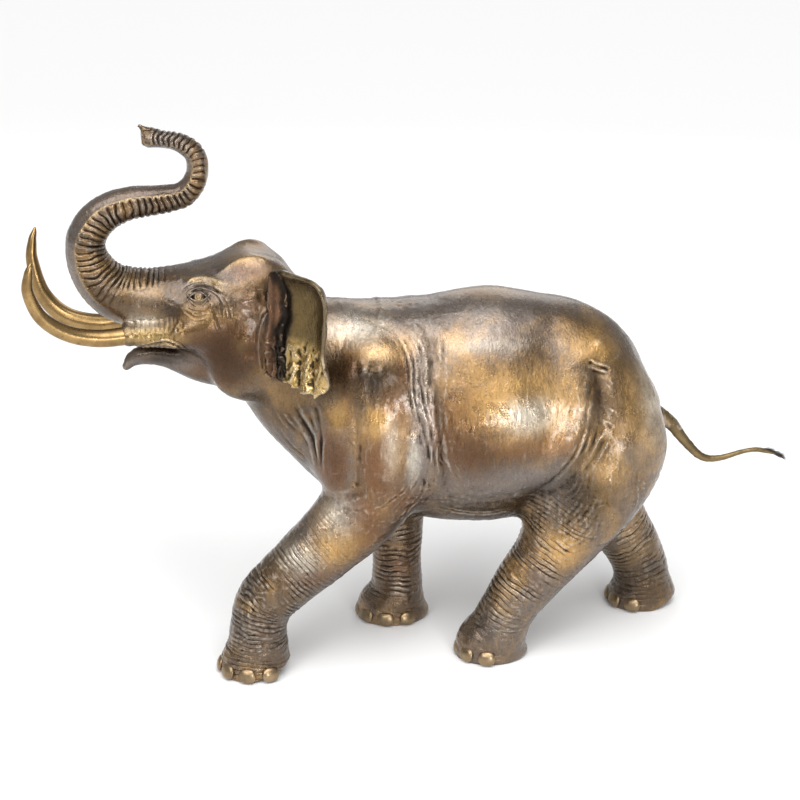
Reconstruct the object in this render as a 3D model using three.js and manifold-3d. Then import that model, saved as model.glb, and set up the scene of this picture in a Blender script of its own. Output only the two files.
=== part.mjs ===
/*
 * Striding elephant, cast in bronze in one piece, trunk raised in an S and curled forward.
 *
 * Millimetres, +Z up. The elephant faces -X, its left side is -Y, and it stands on z = 0
 * with the middle of its bounding box over the origin.
 *
 * The body is modelled the way a sculptor builds it up in clay. Named masses (ellipsoids) and
 * limbs (tapering tubes along curves) run into one another with soft fillets, tools cut the
 * folds and the mouth, and the surface of the blended form is then meshed and simplified.
 */
import * as THREE from "three";
import { mergeVertices } from "three/addons/utils/BufferGeometryUtils.js";
import Module from "manifold-3d";

const CELL = 5; // edge of a sampling cell
const BLOCK = 8; // cells along the edge of a block
const TRIANGLES = 9200; // faces left after simplifying
const LEAST_TURN = 0.2; // least cosine between a face and the surface it stands for
const SLENDER = 0.015; // faces more slender than this aren't made
const EVENNESS = 2e-6; // weight of short edges against a close fit
const SPAN_STEPS = 6; // straight pieces in each span of a limb
const SEARCH = 4; // pieces tested each side of a block's nearest one
const FLOOR_TRIM = 3; // metal cut away under the feet to leave flat soles
const CENTRING = [-32.5, -9.6, 0]; // puts the middle of the bounding box over the origin
const REACH = { min: [-524, -200, -20], max: [588, 200, 796] };

const LEFT = -1;
const RIGHT = 1;

// A soft union: the two distances run together over a fillet of the given width.
function softMin(a, b, fillet) {
  const h = Math.max(fillet - Math.abs(a - b), 0) / fillet;
  return Math.min(a, b) - h * h * fillet * 0.25;
}

function softMax(a, b, fillet) {
  return -softMin(-a, -b, fillet);
}

function clamp(value, low, high) {
  return Math.min(Math.max(value, low), high);
}

// Distance to an ellipsoid-like shell from offsets in its own axes.
function shellDistance(a, b, c, ra, rb, rc) {
  const k0 = Math.hypot(a / ra, b / rb, c / rc);
  const k1 = Math.hypot(a / ra ** 2, b / rb ** 2, c / rc ** 2);
  return k0 < 1e-6 ? -Math.min(ra, rb, rc) : (k0 * (k0 - 1)) / Math.max(k1, 1e-9);
}

/** Anything that adds metal to the form or cuts it away. */
class Part {
  constructor({ fillet = 20, mirror = false, cut = false }) {
    this.fillet = fillet;
    this.mirror = mirror;
    this.cut = cut;
    this.box = new THREE.Box3();
  }

  // How near the part can be to a point, for leaving out parts that are out of reach.
  nearest(x, y, z) {
    return this.box.distanceToPoint(new THREE.Vector3(x, y, z));
  }

  aim() {}
}

/** An ellipsoid, turned about the crosswise axis by pitch and about the upright one by yaw. */
class Mass extends Part {
  constructor(at, radii, options = {}) {
    super(options);
    const { pitch = 0, yaw = 0 } = options;
    this.at = at;
    this.radii = radii;
    const turn = new THREE.Matrix4().makeRotationFromEuler(
      new THREE.Euler(0, THREE.MathUtils.degToRad(pitch), THREE.MathUtils.degToRad(yaw), "ZYX"),
    );
    this.axes = [0, 1, 2].map((k) => new THREE.Vector3().setFromMatrixColumn(turn, k));
    const reach = [0, 1, 2].map((k) =>
      this.axes.reduce((sum, axis, i) => sum + Math.abs(axis.getComponent(k)) * radii[i], 0),
    );
    this.box.set(
      new THREE.Vector3(...at.map((v, k) => v - reach[k])),
      new THREE.Vector3(...at.map((v, k) => v + reach[k])),
    );
  }

  distance(x, y, z) {
    const dx = x - this.at[0];
    const dy = y - this.at[1];
    const dz = z - this.at[2];
    const [a, b, c] = this.axes.map((v) => v.x * dx + v.y * dy + v.z * dz);
    return shellDistance(a, b, c, ...this.radii);
  }
}

/** A tapering tube. Each station is x, y, z, half width (crosswise) and half depth. */
class Limb extends Part {
  constructor(stations, options = {}) {
    super(options);
    const curve = (points) => new THREE.CatmullRomCurve3(points, false, "catmullrom", 0.5);
    const line = curve(stations.map(([x, y, z]) => new THREE.Vector3(x, y, z)));
    const girth = curve(stations.map((s) => new THREE.Vector3(s[3], s[4], 0)));
    const count = (stations.length - 1) * SPAN_STEPS;
    const centres = [];
    this.rows = [];
    for (let i = 0; i <= count; i += 1) centres.push(line.getPoint(i / count));
    for (let i = 0; i <= count; i += 1) {
      const before = centres[Math.max(i - 1, 0)];
      const after = centres[Math.min(i + 1, count)];
      const along = after.clone().sub(before).normalize();
      const side = new THREE.Vector3(0, 1, 0).addScaledVector(along, -along.y).normalize();
      const normal = along.clone().cross(side);
      const { x: wide, y: deep } = girth.getPoint(i / count);
      const c = centres[i];
      this.rows.push([...c, ...along, ...side, ...normal, wide, deep]);
      const r = Math.max(wide, deep);
      this.box.expandByPoint(new THREE.Vector3(c.x - r, c.y - r, c.z - r));
      this.box.expandByPoint(new THREE.Vector3(c.x + r, c.y + r, c.z + r));
    }
    this.first = 0;
    this.last = count - 1;
  }

  // Nearest piece of the line between two piece numbers: its number, the share along it.
  find(x, y, z, from, to) {
    let best = Infinity;
    let piece = from;
    let share = 0;
    for (let i = from; i <= to; i += 1) {
      const p = this.rows[i];
      const q = this.rows[i + 1];
      const ex = q[0] - p[0];
      const ey = q[1] - p[1];
      const ez = q[2] - p[2];
      const vx = x - p[0];
      const vy = y - p[1];
      const vz = z - p[2];
      const t = clamp((vx * ex + vy * ey + vz * ez) / (ex * ex + ey * ey + ez * ez), 0, 1);
      const gap = (vx - t * ex) ** 2 + (vy - t * ey) ** 2 + (vz - t * ez) ** 2;
      if (gap < best) {
        best = gap;
        piece = i;
        share = t;
      }
    }
    return [piece, share, Math.sqrt(best)];
  }

  nearest(x, y, z) {
    const [piece, , gap] = this.find(x, y, z, 0, this.rows.length - 2);
    const p = this.rows[piece];
    const q = this.rows[piece + 1];
    return gap - Math.max(p[12], p[13], q[12], q[13]);
  }

  // Limits the search to the pieces round the one nearest a block's middle.
  aim(x, y, z) {
    const [piece] = this.find(x, y, z, 0, this.rows.length - 2);
    this.first = Math.max(piece - SEARCH, 0);
    this.last = Math.min(piece + SEARCH, this.rows.length - 2);
  }

  distance(x, y, z) {
    const [piece, t] = this.find(x, y, z, this.first, this.last);
    const p = this.rows[piece];
    const q = this.rows[piece + 1];
    const v = p.map((value, k) => value + (q[k] - value) * t);
    const dx = x - v[0];
    const dy = y - v[1];
    const dz = z - v[2];
    const along = dx * v[3] + dy * v[4] + dz * v[5];
    const side = dx * v[6] + dy * v[7] + dz * v[8];
    const normal = dx * v[9] + dy * v[10] + dz * v[11];
    return shellDistance(side, normal, along, v[12], v[13], Math.min(v[12], v[13]));
  }
}

const EAR = {
  halfBreadth: 50,
  halfHeight: 81,
  corner: 27,
  halfThickness: 4,
  dish: 13,
  rimRadius: 5.2,
};

/** An ear: a dished plate standing out from the head, with a rolled rim and a frilled lobe. */
class Ear extends Part {
  constructor({ root, spread, lean, side, fillet }) {
    super({ fillet });
    const angle = THREE.MathUtils.degToRad(spread);
    this.root = root;
    this.out = new THREE.Vector3(Math.cos(angle), side * Math.sin(angle), -0.06).normalize();
    this.up = new THREE.Vector3(...lean);
    this.up.addScaledVector(this.out, -this.up.dot(this.out)).normalize();
    this.face = this.out.clone().cross(this.up);
    if (this.face.x > 0) this.face.negate();
    const middle = new THREE.Vector3(...root);
    this.box.set(middle.clone().subScalar(130), middle.clone().addScalar(130));
  }

  // How far the plate bows forward at a place on the ear.
  bow(across, rise) {
    const u = clamp((across - EAR.halfBreadth) / EAR.halfBreadth, -1.2, 1.2);
    const v = clamp(rise / EAR.halfHeight, -1.2, 1.2);
    const bowl = -EAR.dish * (1 - u * u) * (1 - v * v);
    const topRoll = 15 * clamp((v - 0.45) / 0.55, 0, 1) ** 2;
    const edgeRoll = 12 * clamp((u - 0.35) / 0.65, 0, 1) ** 2 * clamp((v + 0.75) / 0.5, 0, 1);
    const lobe = clamp((-v - 0.15) / 0.6, 0, 1);
    const frill = 2.6 * Math.sin((across * Math.PI) / 12 + rise * 0.03);
    return bowl + topRoll + edgeRoll + lobe * frill;
  }

  distance(x, y, z) {
    const q = new THREE.Vector3(x - this.root[0], y - this.root[1], z - this.root[2]);
    const across = q.dot(this.out);
    const rise = q.dot(this.up);
    const bow = this.bow(across, rise);
    const steep = Math.hypot(
      1,
      (this.bow(across + 2, rise) - bow) / 2,
      (this.bow(across, rise + 2) - bow) / 2,
    );
    const off = (q.dot(this.face) - bow) / steep;
    const middle = EAR.halfBreadth - 4;
    const low = clamp(-rise / 30, 0, 1);
    const sag = low * (1.6 * Math.sin(across * 0.33) + 0.1 * (across - middle));
    const a = Math.abs(across - middle) - (EAR.halfBreadth + 4 - EAR.corner);
    const b = Math.abs(rise + sag) - (EAR.halfHeight - EAR.corner);
    const inside = Math.min(Math.max(a, b), 0);
    const edge = Math.hypot(Math.max(a, 0), Math.max(b, 0)) + inside - EAR.corner;
    const plate = softMax(Math.abs(off) - EAR.halfThickness, edge, 4);
    const kept = clamp((rise + 52) / 30, 0, 1) * clamp((across - 8) / 20, 0, 1);
    const rim = Math.hypot(edge + 3.5, off - 2) - EAR.rimRadius + (1 - kept) * 6;
    return softMin(plate, rim, 4);
  }
}

/** A fold pressed into one flank or both along a line seen from the side: x, z pairs. */
class Fold {
  constructor(line, { width, depth, sides = [LEFT, RIGHT], inner = 50 }) {
    const points = line.map(([x, z]) => new THREE.Vector2(x, z));
    this.points = new THREE.SplineCurve(points).getPoints(4 * (line.length - 1));
    this.box = new THREE.Box2().setFromPoints(points).expandByScalar(3 * width);
    Object.assign(this, { width, depth, sides, inner });
  }

  // How deep the fold is pressed at a place, fading out towards its ends.
  press(x, y, z) {
    if (!this.sides.includes(Math.sign(y))) return 0;
    const flank = clamp((Math.abs(y) - this.inner) / 15, 0, 1);
    if (flank === 0 || !this.box.containsPoint(new THREE.Vector2(x, z))) return 0;
    let best = Infinity;
    let share = 0;
    for (let i = 0; i + 1 < this.points.length; i += 1) {
      const p = this.points[i];
      const q = this.points[i + 1];
      const ex = q.x - p.x;
      const ez = q.y - p.y;
      const t = clamp(((x - p.x) * ex + (z - p.y) * ez) / (ex * ex + ez * ez), 0, 1);
      const gap = (x - p.x - t * ex) ** 2 + (z - p.y - t * ez) ** 2;
      if (gap < best) {
        best = gap;
        share = (i + t) / (this.points.length - 1);
      }
    }
    const fade = Math.min(1, 5 * share, 5 * (1 - share));
    return this.depth * fade * flank * Math.exp(-best / this.width ** 2);
  }
}

// Toenails in an arc round the front of a foot: low oval pads set into the edge.
function nails([x, y], wide, deep, count) {
  const pads = [];
  for (let i = 0; i < count; i += 1) {
    const angle = (i / (count - 1) - 0.5) * THREE.MathUtils.degToRad(34 * (count - 1));
    const at = [x - deep * Math.cos(angle), y + wide * Math.sin(angle), 15];
    const yaw = -THREE.MathUtils.radToDeg(angle);
    pads.push(new Mass(at, [6.5, 10.5, 12], { yaw, pitch: 14, fillet: 3 }));
  }
  return pads;
}

// Soles: centre, and where along X the heel starts to lift, and how steeply it does.
const FEET = {
  leftFront: { at: [-216, -77], liftFrom: -222, slope: 0.34, nails: 5 },
  rightFront: { at: [-2, 70], liftFrom: 22, slope: 0.08, nails: 5 },
  leftHind: { at: [126, -70], liftFrom: 144, slope: 0.12, nails: 4 },
  rightHind: { at: [380, 66], liftFrom: 390, slope: 0.34, nails: 4 },
};
const FOOT_REACH = 70;
const FOOT_WIDE = 43;
const FOOT_DEEP = 51;
const HEEL_LIFT = 18;

// Height of the underside of a foot at a place.
function soleHeight(x, y) {
  for (const foot of Object.values(FEET)) {
    if (Math.hypot(x - foot.at[0], y - foot.at[1]) < FOOT_REACH) {
      return clamp((x - foot.liftFrom) * foot.slope, 0, HEEL_LIFT) - FLOOR_TRIM;
    }
  }
  return -FLOOR_TRIM;
}

const trunkLine = [
  [-235, 0, 526, 54, 62],
  [-292, 0, 534, 51, 47],
  [-346, 0, 535, 46, 42],
  [-391, 0, 549, 40, 37],
  [-418, 0, 580, 34, 31],
  [-425, 0, 619, 29, 26.5],
  [-403, 0, 654, 26.5, 25],
  [-366, 0, 670, 24, 22.5],
  [-325, 0, 674, 21.5, 20],
  [-291, 0, 681, 19.5, 17.5],
  [-274, 0, 704, 17, 15.5],
  [-274, 0, 731, 15.5, 14],
  [-292, 0, 749, 14, 12.5],
  [-316, 0, 755, 12.5, 11.5],
  [-333, 0, 757, 14.5, 13],
];

const torso = [
  new Limb(
    [
      [222, 0, 375, 100, 129],
      [150, 0, 364, 117, 158],
      [70, 0, 360, 120, 161],
      [0, 0, 364, 111, 154],
      [-48, 0, 372, 98, 140],
    ],
    { fillet: 30 },
  ),
  new Limb(
    [
      [-28, 0, 380, 96, 126],
      [-90, 0, 402, 84, 118],
      [-143, 0, 441, 70, 100],
      [-186, 0, 480, 60, 72],
    ],
    { fillet: 36 },
  ), // neck
  new Mass([118, 0, 326], [150, 124, 124], { fillet: 40 }), // belly
  new Mass([142, 0, 437], [126, 76, 83], { fillet: 40 }), // ridge of the back
  new Mass([253, 0, 365], [96, 104, 121], { fillet: 40 }), // rump
  new Mass([-36, -72, 404], [46, 30, 72], { pitch: -12, fillet: 28, mirror: true }), // shoulder
];

const legs = [
  new Limb(
    [
      [-40, -56, 425, 40, 62],
      [-42, -66, 360, 44, 72],
      [-48, -72, 300, 46, 74],
      [-64, -76, 243, 45, 59],
      [-117, -78, 189, 43, 50],
      [-167, -78, 143, 41, 44],
      [-200, -77, 109, 40, 41],
      [-211, -77, 74, 39, 39.5],
      [-213, -77, 42, 41, 42],
      [-216, -77, 16, 43, 50],
      [-217, -77, -14, 43, 50],
    ],
    { fillet: 30 },
  ),
  new Limb(
    [
      [-30, 56, 420, 40, 66],
      [-22, 62, 350, 45, 66],
      [-10, 66, 290, 45, 58],
      [-2, 68, 230, 43, 49],
      [2, 69, 170, 39, 42],
      [4, 70, 115, 37, 37],
      [5, 70, 76, 37, 36],
      [4, 70, 44, 40, 39],
      [-1, 70, 17, 43, 53],
      [-2, 70, -14, 43, 53],
    ],
    { fillet: 30 },
  ),
  new Limb(
    [
      [272, -56, 365, 54, 86],
      [272, -72, 310, 56, 96],
      [257, -78, 250, 53, 79],
      [230, -78, 195, 49, 58],
      [200, -76, 150, 45, 48.5],
      [171, -74, 110, 41, 43.5],
      [149, -72, 75, 39, 39.5],
      [136, -71, 45, 40, 41],
      [126, -70, 18, 42, 52],
      [124, -70, -14, 42, 52],
    ],
    { fillet: 34 },
  ),
  new Limb(
    [
      [272, 56, 370, 54, 86],
      [282, 64, 305, 56, 90],
      [295, 68, 235, 52, 67],
      [316, 67, 178, 48, 52],
      [340, 66, 132, 45, 45],
      [361, 66, 96, 42, 42],
      [374, 66, 66, 40, 40.5],
      [379, 66, 42, 41, 42],
      [380, 66, 18, 42, 51],
      [379, 66, -14, 42, 51],
    ],
    { fillet: 34 },
  ),
  ...Object.values(FEET).flatMap((foot) => nails(foot.at, FOOT_WIDE, FOOT_DEEP, foot.nails)),
];

const head = [
  new Mass([-210, 0, 527], [72, 60, 72], { fillet: 30 }), // skull
  new Mass([-202, -27, 561], [46, 27, 38], { pitch: 10, fillet: 16, mirror: true }), // dome
  new Mass([-201, 36, 578], [23, 15, 24], { fillet: 12 }), // back of the right dome
  new Mass([-252, -18, 516], [74, 50, 63], { fillet: 24, mirror: true }), // face
  new Mass([-216, -42, 462], [50, 30, 61], { pitch: 14, fillet: 26, mirror: true }), // jowl
  new Limb(trunkLine, { fillet: 16 }),
  new Limb(
    [
      [-326, 0, 763, 6.5, 5.5],
      [-338, 0, 769, 5, 4.2],
      [-345, 0, 774, 3.2, 3.2],
    ],
    { fillet: 8 },
  ), // finger at the tip of the trunk
  new Limb(
    [
      [-235, 0, 444, 44, 42],
      [-280, 0, 446, 34, 30],
      [-322, 0, 455, 22, 19],
      [-352, 0, 456, 14.5, 14],
      [-369, 0, 450, 9.5, 10.5],
      [-379, 0, 440, 5.5, 5.5],
    ],
    { fillet: 12 },
  ), // lower jaw
];

const tusks = [
  new Limb(
    [
      [-268, -44, 508, 28, 28],
      [-305, -46, 500, 22, 21],
      [-342, -43, 499, 17.5, 17.2],
      [-372, -42, 499, 15.5, 15],
    ],
    { fillet: 12, mirror: true },
  ), // sheath of lip
  new Limb(
    [
      [-362, -42, 499, 12.5, 12.5],
      [-412, -51, 499, 12, 12],
      [-453, -61, 511, 11, 11],
      [-485, -70, 537, 9.6, 9.6],
      [-498, -76, 572, 7.6, 7.6],
      [-494, -79, 600, 5.4, 5.4],
      [-492, -80, 615, 2.6, 2.6],
    ],
    { fillet: 3 },
  ),
  new Limb(
    [
      [-362, 42, 494, 13.5, 13.5],
      [-414, 51, 485.5, 13.8, 13.8],
      [-459, 61, 495.5, 13, 13],
      [-489, 71, 525.5, 11.2, 11.2],
      [-499, 78, 570, 8.4, 8.4],
      [-496, 80, 600, 5.4, 5.4],
      [-493, 81, 618, 2.6, 2.6],
    ],
    { fillet: 3 },
  ),
];

const ears = [
  new Ear({ root: [-181, -72, 518], spread: 45, lean: [0.01, 0.05, 1], side: LEFT, fillet: 10 }),
  new Ear({ root: [-186, 70, 470], spread: 78, lean: [-0.2, 0.28, 1], side: RIGHT, fillet: 10 }),
];

const tail = [
  new Limb(
    [
      [350, 0, 345, 14, 16],
      [392, 0, 318, 9, 10],
      [420, 1, 283, 7.2, 7.5],
      [444, 2, 260, 6.2, 6.5],
      [470, 3, 256, 5.2, 5.4],
      [505, 4, 264, 4.4, 4.6],
      [525, 4, 266, 4.8, 5],
      [548, 4, 261, 4.4, 4.8],
      [571, 4, 253, 3, 3],
    ],
    { fillet: 8 },
  ),
];

const folds = [
  new Fold(
    [
      [245, 458],
      [266, 443],
      [276, 423],
      [279, 394],
      [272, 358],
      [256, 326],
      [229, 293],
      [195, 269],
      [160, 251],
    ],
    { width: 8, depth: 6 },
  ), // between belly and thigh
  new Fold(
    [
      [20, 531],
      [29, 485],
      [35, 428],
      [41, 369],
      [41, 325],
      [32, 281],
      [21, 252],
    ],
    { width: 8, depth: 6 },
  ), // behind the upper arm
  new Fold(
    [
      [-97, 421],
      [-111, 378],
      [-120, 335],
      [-121, 290],
    ],
    { width: 9, depth: 5, sides: [LEFT] },
  ), // before the upper arm
  new Fold(
    [
      [-380, 471],
      [-346, 477],
      [-321, 478],
      [-303, 470],
      [-295, 460],
    ],
    { width: 3.5, depth: 5, inner: 0 },
  ), // mouth
  new Fold(
    [
      [-308, 561],
      [-294, 569],
      [-279, 572],
      [-260, 566],
      [-245, 558],
    ],
    { width: 5, depth: -4, inner: 25 },
  ), // brow
  new Fold(
    [
      [-300, 551],
      [-278, 553],
      [-256, 549],
    ],
    { width: 9, depth: 4, inner: 25 },
  ), // eye socket
  new Fold(
    [
      [-68, 470],
      [-48, 457],
      [-28, 466],
    ],
    { width: 16, depth: 6, inner: 30 },
  ), // hollow above the shoulder
];

/** The whole blended form. */
class Form {
  constructor(parts) {
    this.parts = parts;
  }

  distance(x, y, z, parts = this.parts) {
    let d = 60;
    for (const part of parts) {
      const e = part.distance(x, part.mirror ? -Math.abs(y) : y, z);
      d = part.cut ? softMax(d, -e, part.fillet) : softMin(d, e, part.fillet);
    }
    if (Math.abs(d) < 40) for (const fold of folds) d += fold.press(x, y, z);
    return softMax(d, soleHeight(x, y) - z, FLOOR_TRIM);
  }

  // Parts that can touch anything within a distance of a point.
  near(x, y, z, distance) {
    return this.parts.filter((part) => {
      const side = part.mirror ? -Math.abs(y) : y;
      if (part.nearest(x, side, z) > distance + part.fillet + 6) return false;
      part.aim(x, side, z);
      return true;
    });
  }
}

// Samples the form on a grid, block by block, leaving out the blocks the surface can't reach.
function sample(form) {
  const size = REACH.min.map((low, k) => Math.ceil((REACH.max[k] - low) / CELL / BLOCK) * BLOCK);
  const [nx, ny, nz] = size.map((n) => n + 1);
  const values = new Float32Array(nx * ny * nz).fill(1);
  const index = (i, j, k) => (i * ny + j) * nz + k;
  const place = (i, axis) => REACH.min[axis] + i * CELL;
  const half = (BLOCK * CELL) / 2;
  const radius = half * Math.sqrt(3);
  const blocks = [];
  for (let i = 0; i < size[0]; i += BLOCK) {
    for (let j = 0; j < size[1]; j += BLOCK) {
      for (let k = 0; k < size[2]; k += BLOCK) {
        const middle = [place(i, 0) + half, place(j, 1) + half, place(k, 2) + half];
        const near = form.near(...middle, radius);
        if (!near.length) continue;
        const gap = form.distance(...middle, near);
        const reached = Math.abs(gap) < radius * 1.5 + 4;
        if (!reached && gap > 0) continue;
        if (reached) blocks.push([i, j, k]);
        for (let a = i; a <= i + BLOCK; a += 1) {
          for (let b = j; b <= j + BLOCK; b += 1) {
            for (let c = k; c <= k + BLOCK; c += 1) {
              values[index(a, b, c)] = reached
                ? form.distance(place(a, 0), place(b, 1), place(c, 2), near)
                : -1;
            }
          }
        }
      }
    }
  }
  return { values, blocks, index, place, strides: [ny * nz, nz, 1] };
}

// The six tetrahedra of a cell: paths from its low corner to its high one.
const PATHS = [
  [0, 1, 2],
  [0, 2, 1],
  [1, 0, 2],
  [1, 2, 0],
  [2, 0, 1],
  [2, 1, 0],
];

/** Closed triangle mesh of the form's surface, by marching through tetrahedra. */
function polygonise({ values, blocks, index, place, strides }) {
  const points = [];
  const faces = [];
  const known = new Map();

  const crossing = (p, q) => {
    const [low, high] = p.id < q.id ? [p, q] : [q, p];
    const key = low.id * 8 + low.step(high);
    if (!known.has(key)) {
      const t = clamp(low.value / (low.value - high.value), 0.04, 0.96);
      known.set(key, points.length);
      points.push(low.at.map((v, k) => v + (high.at[k] - v) * t));
    }
    return known.get(key);
  };

  const corner = (i, j, k, mask) => {
    const cell = [i + (mask & 1), j + ((mask >> 1) & 1), k + ((mask >> 2) & 1)];
    const id = index(...cell);
    return {
      id,
      cell,
      value: values[id],
      at: cell.map((n, axis) => place(n, axis)),
      step: (other) => other.cell.reduce((sum, n, axis) => sum + ((n - cell[axis]) << axis), 0),
    };
  };

  // Adds a triangle facing from the inner corners to the outer ones.
  const add = (a, b, c, inner, outer) => {
    if (a === b || b === c || a === c) return;
    const [p, q, r] = [points[a], points[b], points[c]];
    const u = q.map((v, k) => v - p[k]);
    const w = r.map((v, k) => v - p[k]);
    const n = [u[1] * w[2] - u[2] * w[1], u[2] * w[0] - u[0] * w[2], u[0] * w[1] - u[1] * w[0]];
    const facing = n.reduce((sum, v, k) => sum + v * (outer.at[k] - inner.at[k]), 0);
    faces.push(facing >= 0 ? [a, b, c] : [a, c, b]);
  };

  const march = (corners) => {
    const inner = corners.filter((c) => c.value < 0);
    const outer = corners.filter((c) => c.value >= 0);
    if (!inner.length || !outer.length) return;
    if (inner.length === 2) {
      const [a, b] = inner;
      const [c, d] = outer;
      const ring = [crossing(a, c), crossing(a, d), crossing(b, d), crossing(b, c)];
      add(ring[0], ring[1], ring[2], a, c);
      add(ring[0], ring[2], ring[3], a, c);
      return;
    }
    const [lone, others] = inner.length === 1 ? [inner[0], outer] : [outer[0], inner];
    const ring = others.map((other) => crossing(lone, other));
    add(...ring, inner.length === 1 ? lone : others[0], inner.length === 1 ? others[0] : lone);
  };

  const offsets = [0, 1, 2, 3, 4, 5, 6, 7].map(
    (m) => (m & 1) * strides[0] + ((m >> 1) & 1) * strides[1] + ((m >> 2) & 1) * strides[2],
  );
  for (const [i0, j0, k0] of blocks) {
    for (let i = i0; i < i0 + BLOCK; i += 1) {
      for (let j = j0; j < j0 + BLOCK; j += 1) {
        for (let k = k0; k < k0 + BLOCK; k += 1) {
          const base = index(i, j, k);
          const count = offsets.reduce((sum, o) => sum + (values[base + o] < 0 ? 1 : 0), 0);
          if (count === 0 || count === 8) continue;
          const corners = [0, 1, 2, 3, 4, 5, 6, 7].map((m) => corner(i, j, k, m));
          for (const [a, b] of PATHS) {
            march([corners[0], corners[1 << a], corners[(1 << a) | (1 << b)], corners[7]]);
          }
        }
      }
    }
  }
  return { points, faces };
}

/** Least-first queue of edges waiting to be collapsed. */
class Queue {
  constructor() {
    this.items = [];
  }

  push(item) {
    const { items } = this;
    let i = items.push(item) - 1;
    while (i > 0) {
      const up = (i - 1) >> 1;
      if (items[up].cost <= item.cost) break;
      items[i] = items[up];
      i = up;
    }
    items[i] = item;
  }

  pop() {
    const { items } = this;
    const top = items[0];
    const last = items.pop();
    if (items.length) {
      let i = 0;
      for (;;) {
        let child = 2 * i + 1;
        if (child >= items.length) break;
        if (child + 1 < items.length && items[child + 1].cost < items[child].cost) child += 1;
        if (items[child].cost >= last.cost) break;
        items[i] = items[child];
        i = child;
      }
      items[i] = last;
    }
    return top;
  }
}

/**
 * Simplifies a closed mesh by collapsing its cheapest edges, where the cost is the squared
 * distance to the planes a vertex stood on. The mesh stays closed, and no face turns over.
 */
class Simplifier {
  constructor({ points, faces }) {
    this.at = Float64Array.from(points.flat());
    this.faces = Int32Array.from(faces.flat());
    this.alive = faces.length;
    this.around = points.map(() => []);
    this.age = new Int32Array(points.length);
    this.seen = new Int32Array(points.length);
    this.mark = 0;
    this.sums = new Float64Array(10 * points.length);
    this.facing = new Float64Array(3 * points.length);
    for (let f = 0; f < faces.length; f += 1) {
      const [x, y, z] = this.normal(f, -1, null);
      const area = Math.hypot(x, y, z) / 2;
      const [a, b, c] = [x, y, z].map((v) => v / Math.max(2 * area, 1e-12));
      const p = 3 * this.faces[3 * f];
      const d = -(a * this.at[p] + b * this.at[p + 1] + c * this.at[p + 2]);
      const terms = [a * a, a * b, a * c, a * d, b * b, b * c, b * d, c * c, c * d, d * d];
      for (let k = 0; k < 3; k += 1) {
        const v = this.faces[3 * f + k];
        this.around[v].push(f);
        for (let t = 0; t < 10; t += 1) this.sums[10 * v + t] += terms[t] * area;
        this.facing[3 * v] += x;
        this.facing[3 * v + 1] += y;
        this.facing[3 * v + 2] += z;
      }
    }
  }

  // Cross product of a face's edges, with one of its vertices moved to a new place.
  normal(f, moved, place) {
    const { at, faces } = this;
    const corners = [0, 1, 2].map((k) => {
      const v = faces[3 * f + k];
      return v === moved ? place : [at[3 * v], at[3 * v + 1], at[3 * v + 2]];
    });
    const [p, q, r] = corners;
    const ux = q[0] - p[0];
    const uy = q[1] - p[1];
    const uz = q[2] - p[2];
    const wx = r[0] - p[0];
    const wy = r[1] - p[1];
    const wz = r[2] - p[2];
    const longest = Math.max(
      ux * ux + uy * uy + uz * uz,
      wx * wx + wy * wy + wz * wz,
      (wx - ux) ** 2 + (wy - uy) ** 2 + (wz - uz) ** 2,
    );
    return [uy * wz - uz * wy, uz * wx - ux * wz, ux * wy - uy * wx, longest];
  }

  neighbours(v) {
    this.mark += 1;
    const found = [];
    for (const f of this.around[v]) {
      for (let k = 3 * f; k < 3 * f + 3; k += 1) {
        const w = this.faces[k];
        if (w === v || this.seen[w] === this.mark) continue;
        this.seen[w] = this.mark;
        found.push(w);
      }
    }
    return found;
  }

  // Where an edge's two ends would best meet, and what that costs.
  meeting(v, w) {
    const { at, sums } = this;
    const s = [];
    for (let t = 0; t < 10; t += 1) s.push(sums[10 * v + t] + sums[10 * w + t]);
    const mid = [0, 1, 2].map((k) => (at[3 * v + k] + at[3 * w + k]) / 2);
    const dx = at[3 * v] - at[3 * w];
    const dy = at[3 * v + 1] - at[3 * w + 1];
    const dz = at[3 * v + 2] - at[3 * w + 2];
    const span = dx * dx + dy * dy + dz * dz;
    const hold = 1e-3 * (s[0] + s[4] + s[7]) + 1e-9;
    const [a, b, c] = [s[0] + hold, s[1], s[2]];
    const [e, f, i] = [s[4] + hold, s[5], s[7] + hold];
    const [r0, r1, r2] = [hold * mid[0] - s[3], hold * mid[1] - s[6], hold * mid[2] - s[8]];
    const det = a * (e * i - f * f) - b * (b * i - f * c) + c * (b * f - e * c);
    let x = (r0 * (e * i - f * f) - b * (r1 * i - f * r2) + c * (r1 * f - e * r2)) / det;
    let y = (a * (r1 * i - f * r2) - r0 * (b * i - f * c) + c * (b * r2 - r1 * c)) / det;
    let z = (a * (e * r2 - r1 * f) - b * (b * r2 - r1 * c) + r0 * (b * f - e * c)) / det;
    const away = (x - mid[0]) ** 2 + (y - mid[1]) ** 2 + (z - mid[2]) ** 2;
    if (!(away < 4 * span)) [x, y, z] = mid;
    const cost =
      s[0] * x * x + s[4] * y * y + s[7] * z * z + s[9] +
      2 * (s[1] * x * y + s[2] * x * z + s[3] * x + s[5] * y * z + s[6] * y + s[8] * z);
    return { place: [x, y, z], cost: Math.max(cost, 0) + EVENNESS * span * span };
  }

  offer(v, once) {
    for (const w of this.neighbours(v)) {
      if (once && w < v) continue;
      const { place, cost } = this.meeting(v, w);
      this.queue.push({ v, w, place, cost, ages: this.age[v] + this.age[w] });
    }
  }

  // A collapse is sound if it pinches nothing and turns no face over.
  sound(v, w, place) {
    const mine = this.neighbours(v);
    const shared = this.neighbours(w).filter((n) => mine.includes(n));
    if (shared.length !== 2) return false;
    return this.keepsFaces(v, w, place) && this.keepsFaces(w, v, place);
  }

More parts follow.
